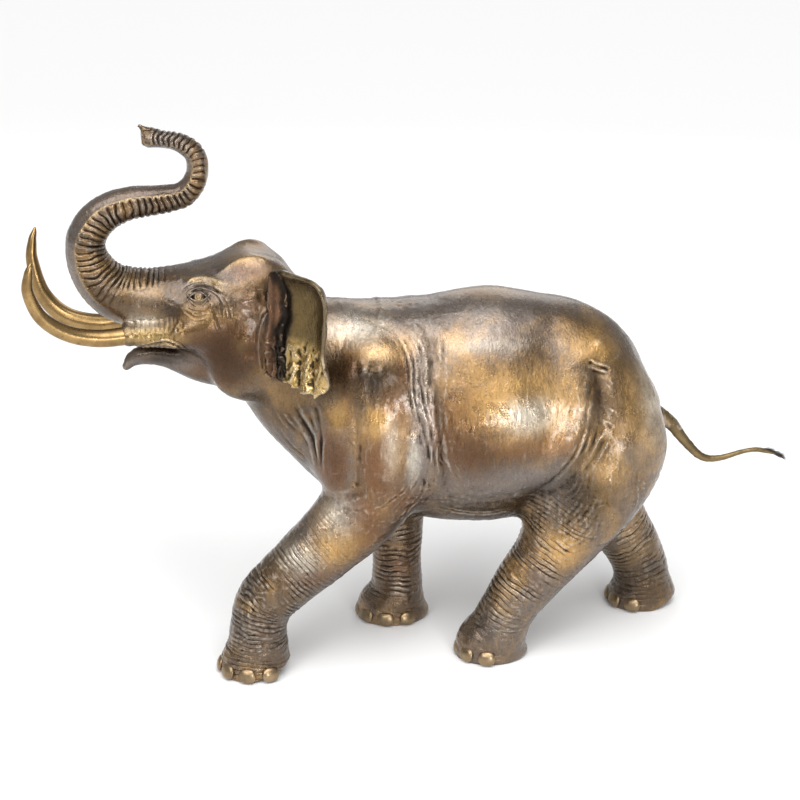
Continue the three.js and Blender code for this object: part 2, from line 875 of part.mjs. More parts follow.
  keepsFaces(end, other, place) {
    for (const f of this.around[end]) {
      const [i, j, k] = this.faces.subarray(3 * f, 3 * f + 3);
      if (i === other || j === other || k === other) continue;
      const [x, y, z, longest] = this.normal(f, end, place);
      const area = Math.hypot(x, y, z);
      let [fx, fy, fz] = [0, 0, 0];
      for (const n of [i, j, k]) {
        const size = Math.hypot(...this.facing.subarray(3 * n, 3 * n + 3)) || 1;
        fx += this.facing[3 * n] / size;
        fy += this.facing[3 * n + 1] / size;
        fz += this.facing[3 * n + 2] / size;
      }
      const turn = (x * fx + y * fy + z * fz) / Math.max(area * Math.hypot(fx, fy, fz), 1e-12);
      if (turn < LEAST_TURN) return false;
      if (area < SLENDER * longest) {
        const [ox, oy, oz, was] = this.normal(f, -1, null);
        if (area / longest < Math.hypot(ox, oy, oz) / was) return false;
      }
    }
    return true;
  }

  collapse(v, w, place) {
    for (const f of this.around[w]) {
      const corners = this.faces.subarray(3 * f, 3 * f + 3);
      if (corners.includes(v)) {
        for (const n of corners) {
          if (n !== w) this.around[n] = this.around[n].filter((g) => g !== f);
        }
        corners.fill(-1);
        this.alive -= 1;
      } else {
        corners[corners.indexOf(w)] = v;
        this.around[v].push(f);
      }
    }
    this.around[w] = [];
    this.age[w] += 1e6;
    this.age[v] += 1;
    for (let k = 0; k < 3; k += 1) this.at[3 * v + k] = place[k];
    for (let k = 0; k < 3; k += 1) this.facing[3 * v + k] += this.facing[3 * w + k];
    for (let t = 0; t < 10; t += 1) this.sums[10 * v + t] += this.sums[10 * w + t];
    this.offer(v, false);
  }

  run(target) {
    for (let pass = 0; pass < 3 && this.alive > target; pass += 1) {
      this.queue = new Queue();
      this.around.forEach((_, v) => this.offer(v, true));
      while (this.alive > target && this.queue.items.length) {
        const { v, w, place, ages } = this.queue.pop();
        if (ages !== this.age[v] + this.age[w]) continue;
        if (this.sound(v, w, place)) this.collapse(v, w, place);
      }
    }
    const numbers = new Map();
    const points = [];
    const faces = [];
    for (const v of this.faces) {
      if (v < 0) continue;
      if (!numbers.has(v)) {
        numbers.set(v, numbers.size);
        points.push([...this.at.subarray(3 * v, 3 * v + 3)]);
      }
      faces.push(numbers.get(v));
    }
    return { points, faces };
  }
}

const wasm = await Module();
wasm.setup();

function solidFrom(geometry) {
  const bare = new THREE.BufferGeometry();
  bare.setAttribute("position", geometry.getAttribute("position"));
  bare.setIndex(geometry.index);
  const merged = mergeVertices(bare, 1e-3);
  return new wasm.Manifold(
    new wasm.Mesh({
      numProp: 3,
      vertProperties: new Float32Array(merged.attributes.position.array),
      triVerts: new Uint32Array(merged.index.array),
    }),
  );
}

function geometryFrom(solid) {
  const { vertProperties, triVerts } = solid.getMesh();
  const geometry = new THREE.BufferGeometry();
  geometry.setAttribute("position", new THREE.BufferAttribute(new Float32Array(vertProperties), 3));
  geometry.setIndex(new THREE.BufferAttribute(new Uint32Array(triVerts), 1));
  geometry.computeVertexNormals();
  return geometry;
}

// Cuts the metal below the floor away, so the soles lie flat on z = 0.
function standOnFloor(geometry) {
  const depth = 60;
  const slab = new THREE.BoxGeometry(1400, 600, depth).translate(0, 0, -depth / 2);
  slab.deleteAttribute("normal");
  slab.deleteAttribute("uv");
  return geometryFrom(solidFrom(geometry).subtract(solidFrom(slab)));
}

function castElephant() {
  const form = new Form([...torso, ...legs, ...head, ...tusks, ...ears, ...tail]);
  const { points, faces } = new Simplifier(polygonise(sample(form))).run(TRIANGLES);
  const geometry = new THREE.BufferGeometry();
  const flat = points.flatMap((p) => p.map((v, k) => v + CENTRING[k]));
  geometry.setAttribute("position", new THREE.BufferAttribute(new Float32Array(flat), 3));
  geometry.setIndex(faces);
  return standOnFloor(geometry);
}

const bronze = new THREE.MeshStandardMaterial({ color: 0x7a5a36, roughness: 0.38, metalness: 1 });
const elephant = new THREE.Mesh(castElephant(), bronze);
elephant.name = "elephant";

const group = new THREE.Group();
group.add(elephant);

export default group;
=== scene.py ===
"""A bronze elephant striding with its trunk raised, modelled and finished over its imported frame.

Modelling tables are in millimetres on the maker's own axes: the animal faces -X, its near side
is -Y and the floor is Z 0. SETTING moves finished work onto the frame, which is in metres.
"""

import logging
import math
from dataclasses import dataclass, field
from enum import Enum
from typing import ClassVar, Sequence

import bpy
import numpy as np
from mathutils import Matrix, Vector
from mathutils.kdtree import KDTree


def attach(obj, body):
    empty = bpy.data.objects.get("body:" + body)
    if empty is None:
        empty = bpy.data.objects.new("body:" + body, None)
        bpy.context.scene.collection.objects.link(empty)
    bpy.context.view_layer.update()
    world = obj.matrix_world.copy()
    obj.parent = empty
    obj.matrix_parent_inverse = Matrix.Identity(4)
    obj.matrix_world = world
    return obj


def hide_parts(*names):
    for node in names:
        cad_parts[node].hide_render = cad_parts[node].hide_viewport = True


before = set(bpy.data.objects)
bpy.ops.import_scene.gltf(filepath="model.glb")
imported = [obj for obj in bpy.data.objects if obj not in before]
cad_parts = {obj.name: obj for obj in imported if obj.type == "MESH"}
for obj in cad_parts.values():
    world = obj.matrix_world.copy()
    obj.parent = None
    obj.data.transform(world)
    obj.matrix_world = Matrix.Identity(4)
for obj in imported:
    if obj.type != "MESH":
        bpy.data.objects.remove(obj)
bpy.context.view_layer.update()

LOG = logging.getLogger("elephant")
Array = np.ndarray
Point = tuple[float, float, float]
Rows = Sequence[Sequence[float]]
Pairs = Sequence[tuple[float, float]]
Thing = bpy.types.Object
Material = bpy.types.Material
Socket = bpy.types.NodeSocket

SETTING: Point = (-32.5, -9.6, 0.0)
MM = 0.001
FAR_AWAY = 30.0          # distance given to clay that no form reaches
SPAN_STEPS = 6           # steps to each span of a limb's line
BROAD = 7.0              # a stroke at least this wide is a muscle or a hollow, not a drawn fold
OPEN = np.inf            # no limit on this side of a box


# ---- small measures

def smooth_min(a: Array, b: Array, blend: float) -> Array:
    """Joins two clay distances with a fillet of the given width."""
    h = np.maximum(blend - np.abs(a - b), 0) / blend
    return np.minimum(a, b) - h * h * blend * 0.25


def smooth_max(a: Array, b: Array, blend: float) -> Array:
    """Cuts one clay distance by another, with an eased edge."""
    return -smooth_min(-a, -b, blend)


def eased(x: Array, low: float, high: float) -> Array:
    """A smooth rise from 0 at low to 1 at high."""
    t = np.clip((x - low) / (high - low), 0, 1)
    return t * t * (3 - 2 * t)


def near_side(p: Array) -> Array:
    """Points folded onto the near side, for work that both sides share.

    Args:
        p: Points in modelling millimetres.

    Returns:
        The same points with Y never above 0.
    """
    q = p.copy()
    q[..., 1] = -np.abs(q[..., 1])
    return q


def within(p: Array, low: Sequence[float], high: Sequence[float]) -> Array:
    """The numbers of the points that lie inside a box."""
    return np.flatnonzero(((p > low) & (p < high)).all(1))


def hump(x: Array, wide: float) -> Array:
    """A rounded ridge: 1 at 0, fading out over the given width."""
    return np.exp(-(x / wide) ** 2)


def folded_back(x: Array) -> Array:
    """A saw-tooth line: 1 at every whole number and 0 halfway between."""
    return np.abs(2 * (x - np.floor(x)) - 1)


def turned(pitch: float, yaw: float) -> Array:
    """The axes of a form pitched about Y and then turned about Z, in degrees.

    Args:
        pitch: Nose-up turn in degrees.
        yaw: Turn about the upright axis in degrees.

    Returns:
        A 3 by 3 rotation matrix.
    """
    p, y = math.radians(pitch), math.radians(yaw)
    about_y = np.array([[math.cos(p), 0, math.sin(p)], [0, 1, 0], [-math.sin(p), 0, math.cos(p)]])
    about_z = np.array([[math.cos(y), -math.sin(y), 0], [math.sin(y), math.cos(y), 0], [0, 0, 1]])
    return about_z @ about_y


def splined(stations: Rows, steps: int = SPAN_STEPS) -> Array:
    """A Catmull-Rom line through rows of numbers.

    Args:
        stations: Rows such as (x, y, z, wide, deep).
        steps: Steps to each span.

    Returns:
        The rows of the finer line.
    """
    rows = np.asarray(stations, float)
    rows = np.vstack([2 * rows[0] - rows[1], rows, 2 * rows[-1] - rows[-2]])
    line = []
    for i in range(len(rows) - 3):
        a, b, c, d = rows[i:i + 4]
        t = np.linspace(0, 1, steps, endpoint=False)[:, None]
        line.append(0.5 * (2 * b + (c - a) * t + (2 * a - 5 * b + 4 * c - d) * t * t
                           + (3 * b - a - 3 * c + d) * t ** 3))
    return np.vstack([*line, rows[-2:-1]])


class Grain:
    """Soft repeatable unevenness in space, the same at every run."""

    LAST = 31                # the lattice repeats after this many cells and one more

    def __init__(self, seed: int) -> None:
        """Fills the lattice from a fixed seed."""
        lattice = np.random.default_rng(seed).random([self.LAST + 1] * 3)
        self.lattice = lattice.astype(np.float32) * 2 - 1

    def at(self, p: Array) -> Array:
        """Unevenness from about -1 to 1 at points given in cells.

        Args:
            p: Points in cells of the lattice.

        Returns:
            One value for each point.
        """
        base = np.floor(p).astype(np.int32)
        f = (p - base).astype(np.float32)
        f = f * f * (3 - 2 * f)
        (i0, j0, k0), (i1, j1, k1) = (base & self.LAST).T, ((base + 1) & self.LAST).T
        x, y, z = f.T
        n = self.lattice
        rows = [n[i0, j, k] * (1 - x) + n[i1, j, k] * x for k in (k0, k1) for j in (j0, j1)]
        return (rows[0] * (1 - y) + rows[1] * y) * (1 - z) + (rows[2] * (1 - y) + rows[3] * y) * z


# ---- clay forms

@dataclass
class Mass:
    """An egg-shaped mass of clay, or a hollow pressed in by one."""

    at: Point
    radii: Point
    blend: float
    pitch: float = 0.0
    yaw: float = 0.0
    mirror: bool = False
    carve: bool = False

    def __post_init__(self) -> None:
        """Sets the axes and the box it fills."""
        self.centre = np.array(self.at, float)
        self.size = np.array(self.radii, float)
        self.axes = turned(self.pitch, self.yaw)
        extent = np.abs(self.axes) @ self.size
        self.low, self.high = self.centre - extent, self.centre + extent

    def hint(self, p: Array) -> None:
        """A mass needs no search."""
        return None

    def near(self, p: Array) -> Array:
        """A quick lower measure of the distance."""
        q = np.maximum(np.maximum(self.low - p, p - self.high), 0)
        return np.sqrt((q * q).sum(-1))

    def distance(self, p: Array, hint: Array | None = None) -> Array:
        """Distance from the surface, negative inside.

        Args:
            p: Points in modelling millimetres.
            hint: Not used by a mass.

        Returns:
            One distance for each point.
        """
        q = (p - self.centre) @ self.axes
        k0 = np.sqrt(((q / self.size) ** 2).sum(-1))
        k1 = np.sqrt(((q / self.size ** 2) ** 2).sum(-1))
        return k0 * (k0 - 1) / np.maximum(k1, 1e-9)


@dataclass
class Limb:
    """A tube of changing oval section laid along stations of (x, y, z, wide, deep)."""

    BATCH: ClassVar[int] = 20000
    SEARCH: ClassVar[int] = 4

    stations: Rows
    blend: float
    mirror: bool = False
    carve: bool = False

    def __post_init__(self) -> None:
        """Lays the finer line and the axes along it."""
        rows = splined(self.stations)
        self.line, self.wide, self.deep = rows[:, :3], rows[:, 3], rows[:, 4]
        along = np.gradient(self.line, axis=0)
        self.along = along / np.linalg.norm(along, axis=1)[:, None]
        side = np.array([0.0, 1.0, 0.0])
        side = side - (self.along @ side)[:, None] * self.along
        self.side = side / np.linalg.norm(side, axis=1)[:, None]
        self.out = np.cross(self.along, self.side)
        self.reach = np.r_[0, np.cumsum(np.linalg.norm(np.diff(self.line, axis=0), axis=1))]
        thick = np.maximum(self.wide, self.deep)[:, None]
        self.low, self.high = (self.line - thick).min(0), (self.line + thick).max(0)
        self.rows = np.concatenate([self.reach[:, None], self.wide[:, None], self.deep[:, None], self.line,
                                    self.along, self.side, self.out], 1).astype(np.float32)

    def hint(self, p: Array) -> Array:
        """The nearest span of the line for each point.

        Args:
            p: Points in modelling millimetres.

        Returns:
            The number of a span for each point.
        """
        start, span = self.line[:-1], np.diff(self.line, axis=0)
        found = np.empty(len(p), int)
        for i in range(0, len(p), self.BATCH):
            v = p[i:i + self.BATCH, None] - start
            t = np.clip((v * span).sum(-1) / (span * span).sum(1), 0, 1)
            found[i:i + self.BATCH] = ((v - t[..., None] * span) ** 2).sum(-1).argmin(1)
        return found

    def near(self, p: Array) -> Array:
        """A quick lower measure of the distance.

        Args:
            p: Points in modelling millimetres.

        Returns:
            A distance for each point, never more than the true one.
        """
        j = self.hint(p)
        start, span = self.line[:-1][j], np.diff(self.line, axis=0)[j]
        t = np.clip(((p - start) * span).sum(-1) / (span * span).sum(1), 0, 1)
        thick = np.max([self.wide[j], self.deep[j], self.wide[j + 1], self.deep[j + 1]], axis=0)
        return np.linalg.norm(p - start - t[:, None] * span, axis=1) - thick

    def local(self, p: Array, hint: Array | None = None) -> Array:
        """Each point measured from the line.

        Args:
            p: Points.
            hint: The nearest span of each point, where it is known already.

        Returns:
            Rows of length along, offset to the side, offset outward, offset along, wide and deep.
        """
        hint = self.hint(p) if hint is None else hint
        p = p.astype(np.float32)
        start = self.line[:-1].astype(np.float32)
        span = np.diff(self.line, axis=0).astype(np.float32)
        square = (span * span).sum(1)
        best = np.full(len(p), np.inf, np.float32)
        bj, bt = np.zeros(len(p), int), np.zeros(len(p), np.float32)
        for o in range(-self.SEARCH, self.SEARCH + 1):
            j = np.clip(hint + o, 0, len(start) - 1)
            v = p - start[j]
            t = np.clip(np.einsum("ij,ij->i", v, span[j]) / square[j], 0, 1)
            v -= t[:, None] * span[j]
            d = np.einsum("ij,ij->i", v, v)
            m = d < best
            best[m], bj[m], bt[m] = d[m], j[m], t[m]
        x = self.rows[bj]
        x += (self.rows[bj + 1] - x) * bt[:, None]
        v = p - x[:, 3:6]
        side, out, along = [np.einsum("ij,ij->i", v, x[:, k:k + 3]) for k in (9, 12, 6)]
        return np.stack([x[:, 0], side, out, along, x[:, 1], x[:, 2]], 1)

    def around(self, p: Array) -> Array:
        """Each point on the limb's skin measured from its line.

        Args:
            p: Points.

        Returns:
            Columns of length along, offset to the side, offset outward, wide, deep and how far out the
            point lies, 1 on the oval itself.
        """
        s, a, b, _, wide, deep = self.local(p).T
        return np.stack([s, a, b, wide, deep, np.hypot(a / wide, b / deep)])

    def distance(self, p: Array, hint: Array | None = None) -> Array:
        """Distance from the surface, negative inside.

        Args:
            p: Points in modelling millimetres.
            hint: The nearest span of each point, where a limb has found it already.

        Returns:
            One distance for each point.
        """
        _, a, b, c, wide, deep = self.local(p, hint).T
        thin = np.minimum(wide, deep)
        k0 = np.sqrt((a / wide) ** 2 + (b / deep) ** 2 + (c / thin) ** 2)
        k1 = np.sqrt((a / wide ** 2) ** 2 + (b / deep ** 2) ** 2 + (c / thin ** 2) ** 2)
        return np.where(k0 > 1e-6, k0 * (k0 - 1) / np.maximum(k1, 1e-9), -thin)


@dataclass
class Ear:
    """A spread ear: a dished flap standing out from the head, its rim rolled forward."""

    root: Point
    spread: float
    lean: Point
    side: int
    breadth: float = 50.0
    height: float = 81.0
    corner: float = 27.0
    thickness: float = 3.8
    dish: float = 13.0
    rim: float = 5.2
    top_curl: float = 15.0
    edge_curl: float = 12.0
    ruffles: Sequence[tuple[float, float, float, float]] = ((2.6, 24.0, 0.0, 0.03), (1.1, 13.0, 1.0, 0.1))
    blend: float = 10.0
    mirror: bool = False
    carve: bool = False

    def __post_init__(self) -> None:
        """Sets the flap's own axes: out along the flap, up it and forward from it."""
        self.at = np.array(self.root, float)
        a = math.radians(self.spread)
        self.across = np.array([math.cos(a), self.side * math.sin(a), -0.06])
        self.across /= np.linalg.norm(self.across)
        up = np.array(self.lean, float)
        up -= up @ self.across * self.across
        self.up = up / np.linalg.norm(up)
        front = np.cross(self.across, self.up)
        self.front = -front if front[0] > 0 else front
        self.low, self.high = self.at - 130, self.at + 130

    hint = Mass.hint
    near = Mass.near

    def local(self, p: Array) -> tuple[Array, Array, Array]:
        """Each point as lengths across the flap, up it and forward from it."""
        q = p - self.at
        return q @ self.across, q @ self.up, q @ self.front

    def bow(self, a: Array, h: Array) -> Array:
        """How far forward the flap's middle surface stands at a place on it.

        Args:
            a: Lengths across the flap.
            h: Heights up it.

        Returns:
            One length forward for each place.
        """
        u = np.clip((a - self.breadth) / self.breadth, -1.2, 1.2)
        v = np.clip(h / self.height, -1.2, 1.2)
        bowl = -self.dish * (1 - u * u) * (1 - v * v)
        top = self.top_curl * np.clip((v - 0.45) / 0.55, 0, 1) ** 2
        edge = self.edge_curl * np.clip((u - 0.35) / 0.65, 0, 1) ** 2 * np.clip((v + 0.75) / 0.5, 0, 1)
        low = np.clip((-v - 0.15) / 0.6, 0, 1)
        waves = [size * np.sin(a * 2 * np.pi / pitch + start + h * lean)
                 for size, pitch, start, lean in self.ruffles]
        return bowl + top + edge + low * sum(waves)

    def outline(self, a: Array, h: Array) -> Array:
        """Distance from the flap's edge, negative inside it.

        Args:
            a: Lengths across the flap.
            h: Heights up it.

        Returns:
            One distance for each place.
        """
        middle = self.breadth - 4
        wave = 1.6 * np.sin(a * 0.33) * (h < 0)
        x = np.abs(a - middle) - (self.breadth + 4 - self.corner)
        y = np.abs(h + wave + 0.1 * (a - middle) * (h < 0)) - (self.height - self.corner)
        return np.hypot(np.maximum(x, 0), np.maximum(y, 0)) + np.minimum(np.maximum(x, y), 0) - self.corner

    def distance(self, p: Array, hint: Array | None = None) -> Array:
        """Distance from the surface, negative inside.

        Args:
            p: Points in modelling millimetres.
            hint: Not used by an ear.

        Returns:
            One distance for each point.
        """
        a, h, n = self.local(p)
        edge, bow = self.outline(a, h), self.bow(a, h)
        flap = 0.8 * smooth_max(np.abs(n - bow) - self.thickness, edge, 4.0)
        roll = np.hypot(edge + 3.5, n - bow - 2.0) - self.rim
        kept = np.clip((h + 52) / 30, 0, 1) * np.clip((a - 8) / 20, 0, 1)
        return smooth_min(flap, 0.85 * (roll + (1 - kept) * 6), 4)


Form = Mass | Limb | Ear


@dataclass
class Foot:
    """A foot on the floor: where it stands and how its heel leaves the ground."""

    x: float
    y: float
    lift_from: float
    slope: float
    nails: int
    turn: float = 0.0
    wide: float = 45.0
    deep: float = 51.0

    def ground(self, p: Array) -> Array:
        """Height of the sole above the floor at each point.

        Args:
            p: Points in modelling millimetres.

        Returns:
            One height for each point, 0 away from this foot.
        """
        near = (np.hypot(p[..., 0] - self.x, p[..., 1] - self.y) < 70) & (p[..., 2] < 40)
        lift = np.minimum(np.maximum(p[..., 0] - self.lift_from, 0) * self.slope, 18)
        return np.where(near, lift, 0.0)


# ---- the skin over the clay

class Skin:
    """The clay's surface as points and three-sided faces, with the relief cut into it."""

    def __init__(self, points: Array, faces: Array) -> None:
        """Keeps the points, in millimetres, and the faces."""
        self.points = points
        self.faces = faces

    def normals(self) -> Array:
        """Unit outward directions at the points.

        Returns:
            One direction for each point, weighted by the faces about it.
        """
        p, f = self.points, self.faces
        n = np.cross(p[f[:, 1]] - p[f[:, 0]], p[f[:, 2]] - p[f[:, 0]])
        total = np.zeros_like(p)
        for axis in range(3):
            w = np.repeat(n[:, axis], 3)
            total[:, axis] = np.bincount(f.ravel(), w, len(p))
        return total / np.maximum(np.linalg.norm(total, axis=1), 1e-12)[:, None]

    def edges(self) -> Array:
        """Each edge once, as a pair of point numbers.

        Returns:
            Rows of two point numbers, the lower one first.
        """
        f = self.faces
        e = np.sort(np.vstack([f[:, :2], f[:, 1:], f[:, ::2]]), axis=1)
        key = np.unique(e[:, 0].astype(np.int64) * len(self.points) + e[:, 1])
        return np.stack([key // len(self.points), key % len(self.points)], 1)

    def evened(self, values: Array, times: int, share: float = 0.5) -> Array:
        """Values averaged with their neighbours' over the surface.

        Args:
            values: One number or one row for each point.
            times: How many rounds.
            share: How far each round moves a value towards its neighbours'.

        Returns:
            The evened values, in the same shape.
        """
        e = self.edges()
        count = np.maximum(np.bincount(e.ravel(), minlength=len(self.points)), 1)
        v = values.reshape(len(values), -1).copy()
        for _ in range(times):
            for k in range(v.shape[1]):
                c = v[:, k]
                total = np.bincount(e[:, 0], c[e[:, 1]], len(c)) + np.bincount(e[:, 1], c[e[:, 0]], len(c))
                v[:, k] = c + share * (total / count - c)
        return v.reshape(values.shape)

    def settle(self, rounds: int) -> None:
        """Takes the small steps of the first skin out without shrinking it.

        Args:
            rounds: How many times the skin is evened and drawn back.
        """
        for _ in range(rounds):
            self.points = self.evened(self.points, 1, 0.55)
            self.points = self.evened(self.points, 1, -0.57)

    def refine(self, chosen: Array) -> None:
        """Quarters the faces whose points are all chosen, on the curve of the surface.

        Args:
            chosen: True for each point inside the finer area.
        """
        n, f, p = self.normals(), self.faces, self.points
        sides = np.stack([f, np.roll(f, -1, 1)], -1)
        split = chosen[sides].all(-1)
        pairs = np.sort(sides[split], axis=1)
        key, place = np.unique(pairs[:, 0].astype(np.int64) * len(p) + pairs[:, 1], return_inverse=True)
        a, b = key // len(p), key % len(p)
        lean_a = ((p[b] - p[a]) * n[a]).sum(1)[:, None] * n[a]
        lean_b = ((p[a] - p[b]) * n[b]).sum(1)[:, None] * n[b]
        middle = np.full(split.shape, -1, np.int64)
        middle[split] = len(p) + place.ravel()
        self.points = np.vstack([p, (p[a] + p[b]) / 2 - (lean_a + lean_b) / 8])
        whole, count = f[split.sum(1) == 0], split.sum(1)
        made = [whole]
        one = np.flatnonzero(count == 1)
        k = split[one].argmax(1)
        first, second, third = [f[one, (k + o) % 3] for o in range(3)]
        m = middle[one, k]
        made += [np.stack([first, m, third], 1), np.stack([m, second, third], 1)]
        full = np.flatnonzero(count == 3)
        v, m = f[full], middle[full]
        made += [np.stack([v[:, 0], m[:, 0], m[:, 2]], 1), np.stack([m[:, 0], v[:, 1], m[:, 1]], 1),
                 np.stack([m[:, 2], m[:, 1], v[:, 2]], 1), m]
        self.faces = np.vstack(made)


class Clay:
    """All the forms laid together in order, standing on its soles."""

    BLOCK = 8                # grid cells along a block's side
    BATCH = 400              # blocks measured at a time
    HALF_DIAGONAL = 0.87     # from a block's middle to its corner, in sides
    SOLE_EDGE = 3.0          # easing where the sole meets the foot

    def __init__(self, forms: Sequence[Form], feet: Sequence[Foot]) -> None:
        """Keeps the forms in the order they are laid."""
        self.forms = list(forms)
        self.feet = list(feet)

    def soled(self, value: Array, p: Array) -> Array:
        """The clay cut off at the floor and under the raised heels.

        Args:
            value: Distances from the clay.
            p: Points in modelling millimetres.

        Returns:
            The distances with the soles cut flat.
        """
        lift = np.zeros(p.shape[:-1])
        for foot in self.feet:
            lift = np.maximum(lift, foot.ground(p))
        return smooth_max(value, lift - p[..., 2], self.SOLE_EDGE)

    def rough(self, p: Array, margin: float) -> Array:
        """Distance at scattered points, true near the surface.

        Args:
            p: Points in modelling millimetres.
            margin: How far from a form it still counts.

        Returns:
            One distance for each point, or the margin where no form is near.
        """
        value, folded = np.full(len(p), margin), near_side(p)
        for form in self.forms:
            x = folded if form.mirror else p
            m = form.blend + (0 if form.carve else margin)
            idx = within(x, form.low - m, form.high + m)
            if len(idx):
                value[idx] = self.laid(form, value[idx], form.distance(x[idx], form.hint(x[idx])))
        return self.soled(value, p)

    @staticmethod
    def laid(form: Form, value: Array, d: Array) -> Array:
        """One form joined to the clay below it, or carved from it."""
        return smooth_max(value, -d, form.blend) if form.carve else smooth_min(value, d, form.blend)

    def blocks(self, centres: Array, offsets: Array, radius: float) -> Array:
        """Distances on a small grid about each centre.

        Args:
            centres: Middles of the blocks.
            offsets: The grid's points about a middle.
            radius: How far a block's corner is from its middle.

        Returns:
            One row of distances for each block.
        """
        out = np.full((len(centres), len(offsets)), FAR_AWAY, np.float32)
        folded = near_side(centres)
        p = (centres[:, None] + offsets).astype(np.float32)
        q = near_side(p)
        for form in self.forms:
            x = folded if form.mirror else centres
            idx = np.flatnonzero(form.near(x) < radius + form.blend + (0 if form.carve else 6))
            if not len(idx):
                continue
            points = (q if form.mirror else p)[idx].reshape(-1, 3)
            hint = form.hint(x[idx])
            d = form.distance(points, None if hint is None else np.repeat(hint, len(offsets)))
            out[idx] = self.laid(form, out[idx], d.reshape(len(idx), -1))
        return self.soled(out, p)

    def skin(self, cell: float, low: Point, high: Point) -> Skin:
        """The surface of the clay on an even grid.

        Args:
            cell: Width of a grid cell.
            low: Lowest corner of the space to look in.
            high: Highest corner of it.

        Returns:
            The closed skin, with outward faces.
        """
        side = self.BLOCK
        origin = np.array(low, float)
        count = np.ceil((np.array(high) - origin) / cell / side).astype(int)
        grid = np.stack(np.meshgrid(*[np.arange(k) for k in count], indexing="ij"), -1).reshape(-1, 3)
        radius = side * cell * self.HALF_DIAGONAL
        reach = radius * 1.5 + 4
        rough = self.rough(origin + (grid + 0.5) * side * cell, reach + 20)
        values = np.ones(count * side + 1, np.float32)
        for x, y, z in grid[rough <= -reach] * side:
            values[x:x + side + 1, y:y + side + 1, z:z + side + 1] = -1
        active = grid[np.abs(rough) < reach]
        offsets = np.stack(np.meshgrid(*[np.arange(side + 1)] * 3, indexing="ij"), -1).reshape(-1, 3)
        for i in range(0, len(active), self.BATCH):
            a = active[i:i + self.BATCH]
            at = (a[:, None] * side + offsets).reshape(-1, 3)
            v = self.blocks(origin + (a + 0.5) * side * cell, (offsets - side / 2) * cell, radius)
            values[at[:, 0], at[:, 1], at[:, 2]] = v.reshape(-1)
        return self.netted(values, origin, cell)

    @staticmethod
    def netted(value: Array, origin: Array, cell: float) -> Skin:
        """One point in each cell the surface crosses, joined across the crossed edges.

        Args:
            value: Distances on the whole grid.
            origin: The grid's lowest corner.
            cell: Width of a grid cell.

        Returns:
            The skin.
        """
        solid = value < 0
        n = np.array(value.shape) - 1
        corners = [(x, y, z) for x in (0, 1) for y in (0, 1) for z in (0, 1)]
        filled = np.zeros(tuple(n), np.int8)
        for x, y, z in corners:
            filled += solid[x:x + n[0], y:y + n[1], z:z + n[2]]
        cells = np.argwhere((filled > 0) & (filled < 8))
        number = np.full(filled.shape, -1, np.int32)
        number[tuple(cells.T)] = np.arange(len(cells))
        v = np.stack([value[cells[:, 0] + x, cells[:, 1] + y, cells[:, 2] + z] for x, y, z in corners], 1)
        total, crossings = np.zeros((len(cells), 3)), np.zeros(len(cells))
        for i in range(8):
            for j in range(i + 1, 8):
                step = np.subtract(corners[j], corners[i])
                if np.abs(step).sum() != 1:
                    continue
                m = (v[:, i] < 0) != (v[:, j] < 0)
                t = v[m, i] / (v[m, i] - v[m, j])
                total[m] += corners[i] + t[:, None] * step
                crossings[m] += 1
        points = origin + (cells + total / crossings[:, None]) * cell
        quads = []
        for axis in range(3):
            u, w = [(1, 2), (2, 0), (0, 1)][axis]
            here = [slice(0, -1) if k == axis else slice(1, -1) for k in range(3)]
            there = list(here)
            there[axis] = slice(1, None)
            first = solid[tuple(here)]
            e = np.argwhere(first != solid[tuple(there)])
            outward = first[tuple(e.T)]
            e = e + np.array([0 if k == axis else 1 for k in range(3)])
            du, dw = np.zeros(3, int), np.zeros(3, int)
            du[u], dw[w] = 1, 1
            q = np.stack([number[tuple((e - s).T)] for s in (du + dw, dw, np.zeros(3, int), du)], 1)
            q[~outward] = q[~outward][:, ::-1]
            quads.append(q)
        q = np.vstack(quads)
        short = (np.linalg.norm(points[q[:, 0]] - points[q[:, 2]], axis=1)
                 <= np.linalg.norm(points[q[:, 1]] - points[q[:, 3]], axis=1))
        a, b = q[short], q[~short]
        return Skin(points, np.vstack([a[:, [0, 1, 2]], a[:, [0, 2, 3]], b[:, [0, 1, 3]], b[:, [1, 2, 3]]]))


# ---- relief cut into the skin

@dataclass(frozen=True)
class Stroke:
    """One fold cut by the modelling tool, or one ridge drawn up, along a line on the skin."""

    name: str
    wide: float
    deep: float
    line: Sequence[Point]
    ends: float = 0.16

    def press(self, p: Array) -> tuple[Array, Array]:
        """How far the stroke sinks the skin.

        Args:
            p: Points folded onto the near side.

        Returns:
            The numbers of the points it touches and the depth at each, negative where it raises.
        """
        line = splined(self.line, 5) if len(self.line) > 2 else np.asarray(self.line, float)
        thin = self.wide < BROAD
        margin = (4.2 if thin else 2.4) * self.wide
        idx = within(p, line.min(0) - margin, line.max(0) + margin)
        if not len(idx):
            return idx, np.zeros(0)
        start, span = line[:-1], np.diff(line, axis=0)
        total = len(start)
        best, place = np.full(len(idx), np.inf), np.zeros(len(idx))
        x = p[idx]
        for k in range(total):
            v = x - start[k]
            t = np.clip(v @ span[k] / (span[k] @ span[k]), 0, 1)
            d = ((v - t[:, None] * span[k]) ** 2).sum(1)
            m = d < best
            best[m], place[m] = d[m], (k + t[m]) / total
        fade = np.clip(np.minimum(place, 1 - place) / self.ends, 0.12, 1)
        across = np.sqrt(best) / self.wide
        shape = np.exp(-across ** 2)
        if thin and self.deep > 0:
            shape += 0.22 * hump(across - 3.0, 0.7) - 0.36 * hump(across - 1.7, 0.8)
        return idx, self.deep * fade * shape


@dataclass(frozen=True)
class Dab:
    """A soft pressed hollow, or a raised lump where the depth is negative."""

    at: Point
    radii: Point
    deep: float

    def weight(self, p: Array) -> Array:
        """Strength of the dab at each point, 1 at its middle."""
        return np.exp(-(((p - np.array(self.at)) / np.array(self.radii)) ** 2).sum(1))


